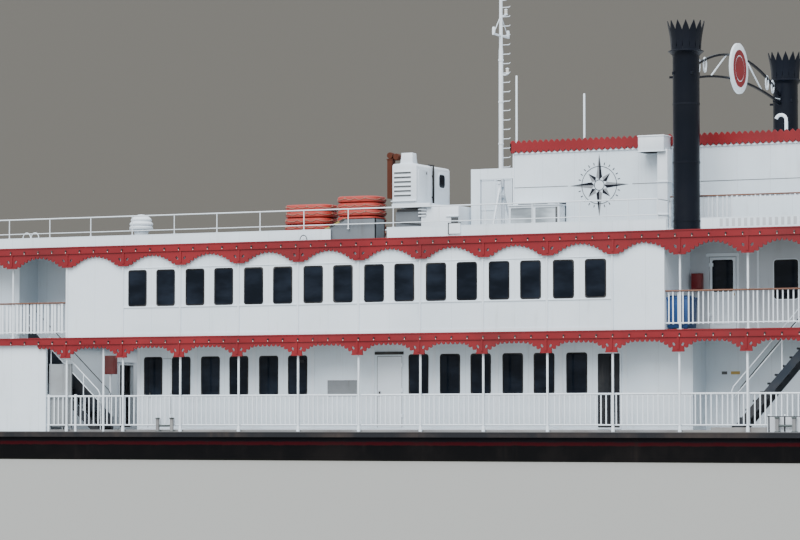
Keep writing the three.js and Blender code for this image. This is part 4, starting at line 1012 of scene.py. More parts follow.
def makeDeckhouses():
    wall, line = narrowWall, narrowWall + 0.006
    dark = Shell().boxes(*[(x0, x1, wall, line, 8.725, 8.74) for x0, x1 in ((5.56, 7.2), (9.1, 10.95), (11.0, 14.1))])
    trims = Shell().boxes(
        *[(x - 0.008, x + 0.008, wall, wall + 0.005, 7.33, 9.70) for x in (6.21, 6.92, 7.58, 9.35, 12.1, 13.2)],
        *[(x, x + 0.04, wall, wall + 0.02, 7.33, 9.70) for x in (5.56, 10.95, 11.03, 15.16)],
        *[(5.56, 15.2, wall, wall + 0.03, *z) for z in ((9.66, 9.70), (7.33, 7.40))])
    # Hatch that stands before the wall: two grey panes in a white frame with a dark runner
    frames = Shell().boxes((5.6, 7.12, wall - 0.005, 2.97, topFloor, 8.2), (5.58, 7.15, wall - 0.005, 3.03, 8.2, 8.225))
    holes = [rounded(x, (7.7, 8.14), 0.02) for x in ((5.66, 6.33), (6.4, 7.0))]
    frames.plate(rounded((5.6, 7.12), (7.63, 8.2), 0.02), holes, 0.03, onSide(2.969))
    panes = Shell().boxes((5.64, 7.02, 2.969, 2.98, 7.68, 8.16)).mirror()
    dark.boxes((7.0, 7.06, 2.969, 3.005, 7.69, 8.15)).mirror()
    # Helm windows, at the sides and in front
    helm = Shell()
    frames.panel(onSide(wall - 0.01), (14.1, 15.05), (8.4, 9.4), 0.04, 0.03, 0.09, 0.06).mirror()
    helm.panel(onSide(wall - 0.03), (14.16, 14.99), (8.46, 9.34), 0.05, 0.01).mirror()
    for y in (-1.95, -0.65, 0.65, 1.95):
        frames.panel(onFront(15.19), (y - 0.61, y + 0.61), (8.4, 9.4), 0.04, 0.03, 0.09, 0.06)
        helm.panel(onFront(15.17), (y - 0.55, y + 0.55), (8.46, 9.34), 0.05, 0.01)
    makeFlat("deckhouseTrims", trims.mirror(), "whitePaint")
    makeFlat("deckhouseLines", dark, "darkGrey")
    makeFlat("deckhouseFrames", frames, "whitePaint")
    makeFlat("hatchPanes", panes, "paleGlass")
    makeFlat("helmPanes", helm, "windowGlass")
    # Ribbed boarding of the forward deckhouse below its brown rail
    ribs = Shell().box((-0.012, 0.012), (0, 0.012), (7.4, 8.3))
    runs = [fromTo(11.1, 15.1, y, Pitch=0.12) for y in (-wall - 0.012, wall)]
    grown("deckhouseBoarding", rowTree, ribs, "whitePaint", smooth=False, runs=runs)
    makeFlat("deckhouseRails", Shell().boxes((11.0, 15.2, wall, wall + 0.025, 8.31, 8.335)).mirror(), "greyPaint")
    print("deckhouses made")

makeRoofs()
makeCompass()
makeDeckhouses()

# Funnels with a dished collar and a crown of pointed leaves, and the round sign between them
funnel = {
    "x": 11.2, "y": 4.0, "radius": 0.355, "collar": 12.06, "leaves": 14, "leafHigh": 0.80, "leafWide": 0.098,
    "flare": 0.105, "bands": (7.55, 9.1, 10.65),
    # up the leaf, half breadth, lean
    "leaf": [(0.0, 0.72, 0.0), (0.12, 0.74, 0.02), (0.3, 0.9, 0.09), (0.5, 1.0, 0.25), (0.68, 0.97, 0.5),
             (0.8, 0.7, 0.7), (0.9, 0.34, 0.86), (1.0, 0.03, 1.0)],
}

def crownLeaf():
    # One leaf of the crown, bent outward as it rises; the ring tree turns it round the funnel.
    points = []
    for depth in (0.0, -0.022):
        for up, share, lean in funnel["leaf"]:
            wide = funnel["leafWide"] * share
            for side in (-1, 0, 1):
                out = funnel["flare"] * lean + depth - 0.14 * wide * abs(side)
                points.append((out, side * wide, funnel["leafHigh"] * up))
    last = len(points) // 2 - 3
    count = last + 3
    faces = []
    for a in (row + column for row in range(0, last, 3) for column in (0, 1)):
        faces += [(a, a + 1, a + 4, a + 3), (count + a, count + a + 3, count + a + 4, count + a + 1)]
    rim = [0, 1, *range(2, count, 3), last + 1, *range(last, 0, -3)]
    faces += [(b, a, a + count, b + count) for a, b in zip(rim, rim[1:] + rim[:1])]
    return Shell().take(points, faces)

def makeFunnels():
    radius, z = funnel["radius"], funnel["collar"]
    outline = [
        (0, topFloor), (radius + 0.012, topFloor), (radius + 0.012, 7.36), (radius, 7.365), (radius, z - 0.11),
        (radius + 0.025, z - 0.07), (0.44, z - 0.01), (0.47, z + 0.005), (0.47, z + 0.03), (0.42, z + 0.035),
        (0.395, z + 0.06), (0.39, z + 0.14), (0.36, z + 0.14), (0.335, z + 0.05), (0.335, z - 0.29), (0, z - 0.29)]
    for side, called in sides.items():
        node, x, y = f"funnel_{called}", funnel["x"], side * funnel["y"]
        shell = Shell().turned(outline, (x, y, 0), 40)
        for low in funnel["bands"]:
            a, b = radius - 0.002, radius + 0.008
            shell.turned([(a, low), (b, low), (b, low + 0.05), (a, low + 0.05)], (x, y, 0), 40)
        for a, b in circle(x, y, 0.36, 4, turn=right / 2):
            shell.post(a, b, 0.03, (11.45, 11.53))
        shell.box((10.74, 10.86), (y - 0.04, y + 0.04), (11.38, 11.44))
        makePiece(f"funnelStack_{called}", shell, "funnelPaint", node)
        run = {"Count": funnel["leaves"], "Radius": 0.402, "First": 0.13, "Centre": (x, y, z + 0.02)}
        grown(f"funnelCrown_{called}", ringTree, crownLeaf(), "funnelPaint", node, runs=[run])
        head, turn = [(0, 0.006), (0.006, 0.004), (0.009, 0), (0, 0)], Matrix.Rotation(right, 4, "Y")
        rivet = Shell().turned(head, corners=6, place=turn)
        runs = [{"Count": 30, "Radius": radius + 0.0075, "Centre": (x, y, low + 0.025)} for low in funnel["bands"]]
        grown(f"funnelRivets_{called}", ringTree, rivet, "funnelPaint", node, runs=runs)

sign = {
    "x": 11.16, "z": 12.03, "radius": 0.70, "reach": 3.705, "bands": ((0.37, 0.52), (0.0, 0.34)),
    "arms": ((11.38, 0.68), (11.6, 1.55)), "scrolls": ((2.98, 0.15), (2.5, 0.17)),
}

def makeSign():
    arms, scrolls = Shell(), Shell()
    x, reach, rim = sign["x"], sign["reach"], sign["radius"]
    for end, rise in sign["arms"]:
        # A parabola over the span
        shares = [step / 28 for step in range(29)]
        path = [(x, reach * (2 * share - 1), end + 2 * share * (1 - share) * rise) for share in shares]
        for a, b in zip(path, path[1:]):
            arms.bar(a, b, 0.055, 0.06)
    x += 0.01
    for side in sides:
        scrolls.bar((x, side * 2.05, 11.62), (x, side * 0.8, 12.34), 0.03)
        scrolls.bar((x, side * 3.6, 11.52), (x, side * 2.95, 11.5), 0.022)
        for y, size in sign["scrolls"]:
            # A scroll between the two arms: a ring with a tail that curls the other way
            z = 11.69 + 0.34 * (1 - (y / reach) ** 2)
            for wide, high, middle, end, steps, thick in (
                    (0.62, 1, z + 0.03, 360, 20, 0.02), (-0.6, -0.9, z - 0.04, 180, 10, 0.017)):
                curl = arc(y, middle, size * wide, size * high, 0, end, steps)
                scrolls.tube([(x, side * a, b) for a, b in curl], thick, 6)
    makeFlat("signArms", arms, "funnelPaint", "sign_bracket")
    makePiece("signScrolls", scrolls, "whitePaint", "sign_bracket")
    # Profile heights run along +x from the arm's forward face.
    turn = Matrix.Rotation(right, 4, "Y")
    profile = [(0, 0.0), (rim - 0.02, 0.0), (rim, 0.01), (rim, 0.06), (rim - 0.015, 0.07), (0, 0.07)]
    makePiece("signDisc", Shell().turned(profile, (11.1906, 0, sign["z"]), 64, turn), "whitePaint", "sign_disc")
    face = Shell()
    for inner, outer in sign["bands"]:
        for end in (11.2606, 11.1826):
            face.turned([(inner, 0.0), (outer, 0.0), (outer, 0.008), (inner, 0.008)], (end, 0, sign["z"]), 64, turn)
    makePiece("signBands", face, "redPaint", "sign_disc")
    print("funnels and sign made")

makeFunnels()
makeSign()

# Mast with pegs, lamps and crosstree, fixed to its own body
mast = {
    "x": 4.03, "hinge": 9.1, "bands": (10.2, 11.4, 12.6), "pegs": (9.55, 0.27, 20),
    "lamps": ((12.2, 0.2), (13.9, 0.16), (14.35, 0.16)),  # height, distance before the pole
    "pole": [(0, 8.99), (0.075, 8.99), (0.075, 9.4), (0.066, 9.5), (0.062, 12.9), (0.05, 13.0), (0.045, 14.6),
             (0.028, 14.99), (0, 15.0)],
    "screen": (2.86, 3.94),
}

def makeMast():
    x, hinge = mast["x"], mast["hinge"]
    shell, lamps, base = Shell(), Shell(), Shell()
    shell.turned(mast["pole"], (x, 0, 0), 16)
    shell.rod((x, -0.135, hinge), (x, 0.135, hinge), 0.032, 14)
    for z in mast["bands"]:
        shell.hoop(0.06, 0.078, (z, z + 0.05), (x, 0, 0), 16)
    first, pitch, count = mast["pegs"]
    for z in (first + pitch * number for number in range(count)):
        shell.tube([(x + 0.04, 0, z), (x + 0.26, 0, z), (x + 0.29, 0, z + 0.03)], 0.011, 6)
    shell.bar((x, -0.55, 13.33), (x, 0.55, 13.33), 0.05)
    for side in sides:
        shell.rod((x, side * 0.5, 13.35), (x, side * 0.06, 13.85), 0.012, 6)
        shell.turned([(0, 0), (0.045, 0), (0.045, 0.15), (0.03, 0.18), (0, 0.18)], (x, side * 0.5, 13.35), 10)
    for z, reach in mast["lamps"]:
        at = (x + reach, 0, z)
        shell.bar((x, 0, z), at, 0.03)
        shell.turned([(0, 0.015), (0.05, 0.015), (0.05, 0.05), (0.035, 0.06), (0, 0.06)], at, 12)
        shell.turned([(0, 0.16), (0.05, 0.16), (0.05, 0.18), (0, 0.2)], at, 12)
        lamps.turned([(0, 0.06), (0.04, 0.06), (0.044, 0.11), (0.04, 0.16), (0, 0.16)], at, 12)
    makePiece("mastPole", shell, "whitePaint", "mast", body="signal_mast")
    makePiece("mastLamps", lamps, "lampWhite", "mast", body="signal_mast")
    across = Matrix.Rotation(-right, 4, "X")
    for side in sides:
        cheek = (side * 0.087, side * 0.135)
        base.box((x - 0.055, x + 0.055), cheek, (7.35, 9.17))
        base.hoop(0, 0.055, cheek, (x, 0, 9.17), 16, across)
        base.hoop(0, 0.045, (side * 0.14, side * 0.16), (x, 0, hinge), 10, across)
        base.rod((x + 0.06, side * 0.9, 7.34), (x, side * 0.1, 8.95), 0.034, 10)
        base.box((x - 0.02, x + 0.14), (side * 0.82, side * 0.98), (7.38, 7.40))
    base.boxes((x - 0.06, x + 0.06, -0.137, 0.137, 8.68, 8.76), (x - 0.3, x + 0.3, -1.0, 1.0, topFloor, 7.38))
    makePiece("tabernacle", base, "whitePaint", "mast_tabernacle")
    # Pale screen on dark feet to port of the mast
    wide = mast["screen"]
    screen = Shell().box(wide, (1.0, 1.05), (7.5, 9.3))
    for low in (2.86, 3.38, 3.9):
        screen.box((low, low + 0.04), (0.98, 1.07), (7.44, 9.31))
    for z in (7.5, 8.4, 9.27):
        screen.box(wide, (0.985, 1.065), (z, z + 0.035))
    feet = Shell().boxes(*[(low, low + 0.12, 0.9, 1.15, topFloor, 7.44) for low in (2.92, 3.36, 3.8)])
    makeFlat("mastScreen", screen, "wallPaint")
    makeFlat("mastScreenFeet", feet, "darkGrey")
    print("mast made")

makeMast()

# Machinery housing on its pedestal: louvres, hood, door panel, window, and a rusty exhaust with two elbows
housing = {
    "x": (2.24, 2.98), "y": (-3.4, -1.23), "z": (8.34, 9.455), "pedestal": (3.08, 4.22), "louvres": (8.59, 9.225),
    "slots": 6,
}

def wedge(shell, low, high, drawn=0.0):
    # A box between two corners whose top is drawn in on every side
    x, y, z = (((start, 1), (end, -1)) for start, end in zip(low, high))
    return shell.take([
        (a + way * drawn * up, b + turn * drawn * up, c)
        for a, way in x for b, turn in y for up, (c, _) in enumerate(z)], cube)

def makeHousing():
    (x0, x1), (y0, y1), (z0, z1) = housing["x"], housing["y"], housing["z"]
    (foot, toe), node = housing["pedestal"], "machinery_housing"
    body, dark, grey, rusty, pane, hose = (Shell() for number in range(6))
    # The case is drawn in x and z with rounded upper edges, then run across
    edges = arc(x1 - 0.1, z1 - 0.1, 0.1, 0.1, 0, 90, 5) + arc(x0 + 0.07, z1 - 0.07, 0.07, 0.07, 90, 180, 5)
    body.plate([(x0, z0), (x1, z0), *edges], [], y1 - y0, onSide(y0))
    body.boxes(
        (x0 - 0.015, 3.4, y0 - 0.015, y1 + 0.015, 8.24, 8.338), (x0 - 0.03, x1 + 0.01, y0 - 0.05, y0, 8.40, 8.425),
        (2.445, 2.855, -3.365, -3.035, 9.44, 9.475), (foot, toe, -3.3, -2.3, topFloor, 8.24),
        *[(x - 0.006, x + 0.006, -3.306, -3.29, 7.33, 8.23) for x in (3.45, 3.83)],
        *[(x, x + 0.06, y1 - 0.08, y1 - 0.02, topFloor, 8.24) for x in (x0 + 0.02, x1 - 0.12)],
        (3.86, 4.23, -3.33, -3.29, 7.94, 7.97))
    wedge(body, (2.46, -3.35, 9.45), (2.84, -3.05, 9.76), 0.025)
    # Louvres of the starboard face: a dark box under each blade as painted shade in the slot
    low, high = housing["louvres"]
    for number in range(housing["slots"]):
        z = low + (high - low) * number / (housing["slots"] - 1)
        dark.box((x0 + 0.05, x1 - 0.17), (y0 - 0.012, y0 + 0.01), (z - 0.045, z - 0.002))
        wedge(body, (x0 + 0.05, y0 - 0.02, z - 0.002), (x1 - 0.17, y0, z + 0.03), 0.004)
    # Louvres of the pedestal: a dark strip over each blade as painted shade
    for z in (8.02, 8.11, 8.2):
        dark.box((foot - 0.07, foot + 0.16), (-3.325, -3.29), (z - 0.012, z + 0.012))
        body.box((foot - 0.08, foot + 0.15), (-3.33, -3.29), (z - 0.05, z - 0.012))
    # Door, window, plate and dark hose of the forward face
    body.panel(onFront(x1 - 0.004), (-3.28, -2.72), (8.42, 9.3), 0.03, 0.018)
    body.panel(onFront(x1 - 0.004), (-2.3, -1.3), (8.42, 9.34), 0.03, 0.012)
    body.panel(onFront(x1 + 0.004), (-2.02, -1.53), (8.82, 9.29), 0.14, 0.02, 0.05, 0.1)
    pane.panel(onFront(x1 + 0.006), (-1.98, -1.57), (8.86, 9.25), 0.11, 0.012)
    dark.box((x1 + 0.012, x1 + 0.035), (-2.8, -2.775), (9.18, 9.24))
    path = [(0.035, -2.37, 8.34), (0.035, -2.37, 9.3), (0.03, -2.37, 9.46), (-0.12, -2.41, 9.47)]
    hose.tube([(x1 + x, y, z) for x, y, z in path], 0.03, 10)
    hose.boxes(*[(x1 - 0.002, x1 + 0.04, -2.42, -2.32, z, z + 0.03) for z in (8.55, 9.15)])
    # Painted shade under the case: a dark box fills the shaded bay behind grey panels; and a black box on the pedestal
    dark.boxes((x0 + 0.05, foot, -3.22, -1.6, topFloor, 8.2), (4.0, 4.215, -3.315, -3.28, 7.75, 7.92))
    grey.box((x0 + 0.03, foot), (-3.25, -3.225), (7.45, 8.12))
    for start, end in ((7.86, 7.76), (7.62, 7.56)):
        dark.bar((x0 + 0.03, -3.27, start), (foot, -3.26, end), 0.05, 0.03)
    # Rusty exhaust with two round elbows at its head
    x = x0 - 0.09
    rusty.boxes((x - 0.085, x + 0.085, -3.38, -3.21, 8.5, 9.6), (x - 0.1, x + 0.1, -3.395, -3.195, 9.585, 9.61),
                (x - 0.02, x0 + 0.02, -3.32, -3.26, 8.7, 8.74))
    elbow = [(0, -0.1), (0.085, -0.1), (0.09, -0.08), (0.09, 0.08), (0.085, 0.1), (0, 0.1)]
    for at, z in ((x, 9.68), (x + 0.19, 9.64)):
        rusty.tube([(at, -3.3, 9.56), (at, -3.3, z)], 0.07, 16)
        rusty.turned(elbow, (at, -3.3, z + 0.02), 18, Matrix.Rotation(right, 4, "X"))
    rusty.rod((x + 0.05, -3.3, 9.64), (2.47, -3.2, 9.64), 0.05, 12)
    makePiece("housingHose", hose, "blackRubber", node, slot="steel_grey")
    makePiece("housingBody", body, "whitePaint", node, bevel=0.006)
    makeFlat("housingDark", dark, "darkGrey", node)
    makePiece("housingDucts", grey, "slatePaint", node)
    makeFlat("housingPane", pane, "windowGlass", node)
    makePiece("exhaustPipe", rusty, "rustySteel", node)
    print("machinery housing made")

makeHousing()

# Rigid life floats in tiers on a rack, each a rounded ring with grab lines
floats = {
    "stacks": ((-1.12, 0.32, 5), (0.54, 1.83, 6)), "y": (-3.7, -2.7), "low": 7.545, "tier": 0.19, "tube": 0.096,
    "square": 0.62, "corner": 0.22, "sag": 0.05,
}

def outward(before, after):
    # Level direction to the right of the way from one point to another
    ahead = (after - before).normalized()
    return Vector((ahead.y, -ahead.x, 0))

def floatRing(path, radius, corners=10):
    # Points and faces of a closed tube round a level loop, squarer than round as moulded floats are
    points = []
    for number, at in enumerate(path):
        out = outward(path[number - 1], path[(number + 1) % len(path)])
        for corner in range(corners):
            parts = polar(1, 2 * math.pi * corner / corners)
            a, b = (math.copysign(abs(part) ** floats["square"], part) for part in parts)
            points.append(at + out * radius * a + Vector((0, 0, radius * 0.92 * b)))
    return points, quads(len(path), corners, closed=True)

def grabLine(path, reach):
    # A line that hangs in bights round the outside of a ring
    dense = []
    for a, b in zip(path, [*path[1:], path[0]]):
        steps = max(1, round((b - a).length / 0.05))
        dense += [a + (b - a) * step / steps for step in range(steps)]
    line = []
    for step, at in enumerate(dense):
        out = outward(dense[step - 1], dense[(step + 1) % len(dense)])
        line.append(at + out * reach + Vector((0, 0, 0.03 - floats["sag"] * abs(math.sin(step * math.pi / 6)))))
    return line

def makeFloats():
    rings, ropes, decks, rack = (Shell() for number in range(4))
    chance = random.Random(4)
    tube, node = floats["tube"], "life_floats"
    for low, high, tiers in floats["stacks"]:
        for tier in range(tiers):
            z = floats["low"] + floats["tier"] * tier
            shift = chance.uniform(-0.02, 0.02)
            x = (low + tube + max(0, shift), high - tube + min(0, shift))
            y = (floats["y"][0] + tube + chance.uniform(0, 0.02), floats["y"][1] - tube)
            path = [Vector((*point, z)) for point in rounded(x, y, floats["corner"], 5)]
            rings.take(*floatRing(path, tube))
            decks.panel(onTop(z - 0.03), (x[0] + 0.02, x[1] - 0.02), (y[0] + 0.02, y[1] - 0.02), 0.28, 0.03)
            line = grabLine(path, tube + 0.004)
            ropes.tube([*line, line[0]], 0.009, 5)
            for at in line[::12]:
                ropes.post(at.x, at.y, 0.014, (at.z - 0.03, at.z + 0.02))
    for y in (-3.4, -3.0):
        rack.bar((-0.95, y, 7.41), (1.83, y, 7.41), 0.06)
        for x in (-0.7, 0.1, 0.8, 1.6):
            rack.post(x, y, 0.03, (topFloor, 7.4))
    for x in (-0.7, 0.1, 0.8, 1.6):
        rack.bar((x, -3.66, 7.43), (x, -2.74, 7.43), 0.05, 0.04)
    makePiece("floatRings", rings, "floatOrange", node)
    makeFlat("floatDecks", decks, "floatOrange", node)
    makePiece("floatLines", ropes, "ropeFinish", node)
    makeFlat("floatRack", rack, "whitePaint", node)
    print("life floats made")

makeFloats()

# Boarding ramp leaned on the coaming, the mushroom vent, and the duct with its wider head
gear = {
    "ramp": (0.2, 1.25, 2.2), "rise": 0.48,
    "vent": [
        (0, topFloor), (0.26, topFloor), (0.26, 7.345), (0.2, 7.36), (0.2, 7.75), (0.235, 7.765), (0.235, 7.80),
        (0.33, 7.80), (0.34, 7.815), (0.34, 7.87), (0.31, 7.9), (0.31, 7.93), (0.335, 7.94), (0.335, 7.98),
        (0.29, 8.03), (0.29, 8.06), (0.30, 8.07), (0.30, 8.1), (0.22, 8.18), (0.1, 8.235), (0, 8.25)],
}

def makeDeckGear():
    (foot, bend, head), rise = gear["ramp"], gear["rise"]
    ramp, edge = Shell(), Shell()

    def slope(shell, y, z):
        # A slab along the slanted part of the ramp
        shell.take([(a, b, c + up) for a, up in ((foot, 0), (bend, rise)) for b in y for c in z], cube)

    for y in (-4.4, -3.84):
        ramp.plate([(foot, topFloor), (head, topFloor), (head, 7.9), (bend, 7.9), (foot, 7.42)], [], 0.04, onSide(y))
    slope(ramp, (-4.4, -3.8), (7.40, 7.42))
    ramp.boxes((bend, head, -4.4, -3.8, 7.88, 7.9), (2.18, head, -4.4, -3.8, 7.33, 7.9))
    for x in (0.3 + 0.1 * number for number in range(9)):
        z = 7.428 + (x - foot) * rise / (bend - foot)
        ramp.bar((x, -4.38, z), (x, -3.82, z), 0.02)
    for y in (-4.412, -3.79):
        slope(edge, (y, y + 0.012), (7.38, 7.44))
    makeFlat("rampPlates", ramp, "slatePaint", "boarding_ramp")
    makeFlat("rampEdges", edge, "hazard", "boarding_ramp")
    makePiece("mushroomVent", Shell().turned(gear["vent"], (-5.6, -3.85, 0), 36), "whitePaint", "vent_cowl")
    duct = Shell().boxes(
        (10.02, 10.31, -3.1, -2.74, topFloor, 9.6), (9.47, 10.27, -3.21, -2.64, 9.53, 9.55),
        *[(9.99, 10.34, -3.13, -2.71, z, z + 0.035) for z in (7.42, 7.82, 8.7)])
    wedge(duct, (9.5, -3.18, 9.53), (10.24, -2.67, 9.95))
    wedge(duct, (9.48, -3.2, 9.95), (10.26, -2.65, 9.98), 0.01)
    makePiece("ductCasing", duct, "whitePaint", "duct", bevel=0.006)
    print("deck gear made")

makeDeckGear()

# Coaming and handrails of the top deck; beside the funnels the handrail stands further in, over a balustrade
topRail = {
    "ends": (-16.74, 15.94), "step": 10.55, "outer": 4.462, "inner": 3.53, "high": 8.162, "middle": 7.74,
    "stanchions": (-16.634, 9.719, 1.387), "funnelGap": (10.8, 11.78), "rampGap": (0.85, 2.6),
}

def makeTopRailing():
    (aft, front), step, z, node = topRail["ends"], topRail["step"], topRail["high"], "top_railing"
    far, near = topRail["outer"], topRail["inner"]
    levels, wooden = ((z, 0.018), (topRail["middle"], 0.012)), (z + 0.085, z + 0.125)
    first, last = aft + 0.018, front - 0.018
    coaming, rails, wood = Shell(), Shell(), Shell()
    for side in sides:
        gaps = [topRail["funnelGap"]] if side == port else [topRail["rampGap"], topRail["funnelGap"]]
        for x in zip([aft, *[gap[1] for gap in gaps]], [*[gap[0] for gap in gaps], front]):
            coaming.box(x, (side * 4.45, side * 4.478), (topFloor, 7.60))
            coaming.box(x, (side * 4.435, side * 4.48), (7.598, 7.62))
        for x in (aft + 0.02 + 0.943 * number for number in range(35)):
            if not any(low - 0.1 < x < high + 0.1 for low, high in gaps):
                coaming.box((x, x + 0.012), (side * 4.47, side * 4.482), (7.325, 7.60))
        coaming.box((12.35, last), (side * 3.555, side * 3.58), (7.6, 8.2))
        outer, inner = side * far, side * near
        for height, size in levels:
            rails.rod((first, outer, height), (step, outer, height), size, 8)
            rails.rod((step, outer, height), (step, inner, height), size, 8)
        rails.rod((step, inner, 7.42), (last, inner, 7.42), 0.016, 8)
        rails.rod((step, outer, 7.6), (step, outer, z), 0.016, 8)
        wood.box((step, front), (inner - 0.018, inner + 0.018), wooden)
        for x in (step + 1.79 * number for number in range(4)):
            rails.post(x, inner, 0.018, (topFloor, z))
            rails.post(x, inner, 0.05, (topFloor, 7.333))
    for x in (aft, front - 0.028):
        coaming.box((x, x + 0.028), (-4.45, 4.45), (topFloor, 7.60))
        coaming.box((x - 0.001, x + 0.029), (-4.48, 4.48), (7.598, 7.62))
    for height, size in levels:
        rails.rod((first, -far, height), (first, far, height), size, 8)
    rails.rod((last, -near, 7.42), (last, near, 7.42), 0.016, 8)
    wood.box((last - 0.018, last + 0.018), (-near, near), wooden)
    makeFlat("topCoaming", coaming, "wallPaint", node)
    makePiece("topHandrails", rails, "whitePaint", node)
    makePiece("topWoodRails", wood, "handrailWood", node, bevel=0.008)
    stanchion = Shell().rod((0, 0, 7.6), (0, 0, z), 0.014, 8).box((-0.03, 0.03), (-0.02, 0.02), (7.615, 7.63))
    start, end, pitch = topRail["stanchions"]
    runs = [fromTo(start, end, side * far, Pitch=pitch) for side in sides]
    runs.append({"From": (first, -2.23, 0), "To": (first, 2.23, 0), "Pitch": 2.23})
    grown("topStanchions", rowTree, stanchion, "whitePaint", node, runs=runs)
    same = {"Pitch": 0.135, "Uneven": 0.002, "Seed": 9}
    runs = [fromTo(step + 0.14, last - 0.14, side * near, **same) for side in sides]
    runs.append({"From": (last, 0.14 - near, 0), "To": (last, near - 0.14, 0), "Turn": (0, 0, right), **same})
    balusterRow("topBalusters", runs, 0.04, 7.38, z + 0.09, node)
    # Painted shade of the slots in the forward coaming: thin grey marks on its face stand for the openings, which are
    # not cut
    slot = Shell().box((0, 0.085), (-0.004, 0.004), (7.38, 7.585))
    runs = [fromTo(12.3, 15.85, side * 4.478, Pitch=0.17) for side in sides]
    grown("coamingSlots", rowTree, slot, "innerPaint", smooth=False, runs=runs)
    print("top railing made")

makeTopRailing()

# Wall details: pilasters, ledges, grilles, door frames and small fittings
walls = {
    "pilaster": 0.03, "ledge": (5.53, 5.555), "house": (-5.85, 11.2), "vents": (-14.2, -12.6, -11.0),
    "flushDoors": ((1.87, 2.63), (-5.5, -4.74)),
    "doorways": [  # x of the wall's outer face, way it faces, middle, floor
        (-15.29, -1, -1.5, 2.0), (-15.29, -1, 1.5, 2.0), (-8.4, 1, 0, 2.0), (-5.85, -1, 0, 2.0), (15.0, 1, 0, 2.0),
        (10.76, 1, 0, 4.7), (-14.6, -1, 0, 4.7), (5.56, -1, 0, 7.35),
    ],
}

def makeWallDetails():
    trims, dark, pale = Shell(), Shell(), Shell()
    face, inset, house = sideWall, insetWall, walls["house"]
    for x in (postX(number) for number in range(2, 11)):
        trims.box((x - 0.05, x + 0.05), (inset, inset + 0.012), (mainFloor, mainCeiling))
    saloon = (postX(2), postX(10), face)
    trims.boxes(
        (*saloon, face + 0.022, *walls["ledge"]), (*saloon, face + 0.012, upperFloor, 4.80),
        (*saloon, face + 0.016, 6.66, 6.675),
        *[(x, x + 0.04, face, face + 0.02, upperFloor, upperCeiling) for x in (postX(1), 10.72)],
        (12.66, 12.72, narrowWall, 2.625, upperFloor, upperCeiling), (*house, 3.56, 3.604, 2.92, 3.035),
        (*house, inset, 3.615, mainFloor, 2.1), (*house, inset, 3.64, 4.47, mainCeiling),
        (0.03, 0.49, inset, 3.66, 4.47, 4.5), (1.86, 2.64, inset, 3.605, 2.12, 4.09))
    # Light grey louvres in the bay without windows
    middle = postX(5.5)
    hole = rounded((middle - 0.475, middle + 0.455), (3.02, 3.44), 0.01)
    trims.plate(rounded((middle - 0.5, middle + 0.48), (2.99, 3.47), 0.03), [hole], 0.03, onSide(3.59))
    for z in (3.03 + 0.04 * number for number in range(11)):
        pale.bar((middle - 0.485, inset, z), (middle + 0.465, inset, z), 0.012, 0.046)
    dark.boxes((middle - 0.45, middle + 0.45, 3.50, 3.52, 2.96, 3.4), (1.8, 2.68, inset, 3.63, 4.14, 4.22),
               (middle - 1.35, middle - 1.2, inset, 3.63, 3.94, 4.02))
    pale.rod((0.07, 3.66, 4.46), (0.45, 3.66, 4.46), 0.02, 8)
    # Flush doors of the main house: a thin outline, hinges and a handle
    for low, high in walls["flushDoors"]:
        dark.boxes(*[(x - 0.006, x + 0.006, inset, 3.606, 2.12, 4.09) for x in (low, high)],
                   (low, high, inset, 3.606, 4.084, 4.096), (low + 0.06, low + 0.1, inset, 3.65, 3.0, 3.12))
        trims.boxes(*[(high - 0.03, high + 0.03, inset, 3.625, z, z + 0.1) for z in (2.4, 3.1, 3.8)])
    dark.panel(onSide(3.59), (8.49, 9.13), (2.12, 4.11), 0.04, 0.02)
    dark.boxes(*[(x, x + 0.02, 3.61, 3.63, 2.2, 4.0) for x in (8.8, 8.95)])
    trims.panel(onSide(inset), (8.45, 9.17), (2.08, 4.15), 0.05, 0.03, 0.04, 0.03)
    # Screen beside the aft stairs, a white screen given grey paint as painted shade
    pale.boxes((-8.36, -7.61, 4.33, 4.36, 2.15, 3.95),
               *[(x, x + 0.03, 4.32, 4.37, mainFloor, 3.96) for x in (-8.36, -7.93, -7.64)])
    # Engine room vents in the screens
    for x in walls["vents"]:
        trims.panel(onSide(face), (x - 0.4, x + 0.4), (3.5, 4.1), 0.04, 0.025, 0.06, 0.02)
        for z in (3.6 + 0.08 * number for number in range(6)):
            trims.bar((x - 0.34, face + 0.012, z), (x + 0.34, face + 0.012, z), 0.03)
        dark.box((x - 0.34, x + 0.34), (face, face + 0.004), (3.56, 4.04))
    for shell in (trims, dark, pale):
        shell.mirror()
    for x in (postX(number) for number in range(1, 11)):
        for y in (side * (face + 0.012) for side in sides):
            trims.rod((x, y, upperFloor), (x, y, upperCeiling), walls["pilaster"], 10)
    for x, way, middle, floor in walls["doorways"]:
        high = 9.35 if floor > 7 else floor + 2.0
        plane = onFront(x - (0.03 if way < 0 else 0))
        trims.panel(plane, (middle - 0.47, middle + 0.47), (floor + 0.05, high + 0.07), 0.05, 0.03, 0.075, 0.03)
        trims.box((x, x + way * 0.12), (middle - 0.5, middle + 0.5), (high + 0.075, high + 0.09))
    # Box on the coaming abaft the deckhouse, and a cable looped over the deck's edge
    trims.box((4.5, 4.84), (-4.52, -4.482), (7.39, 7.67))
    dark.boxes((4.47, 4.5, -4.525, -4.482, 7.37, 7.69), (4.47, 4.85, -4.525, -4.482, 7.67, 7.69))
    dark.tube([(x, -4.62, z) for x, z in arc(0.08, 7.33, 0.11, 0.13, 0, 180, 8)], 0.013, 6)
    makeFlat("wallTrims", trims, "whitePaint")
    makeFlat("wallDarks", dark, "shadowFinish")
    makeFlat("wallGrilles", pale, "greyPaint")
    print("wall details made")

makeWallDetails()

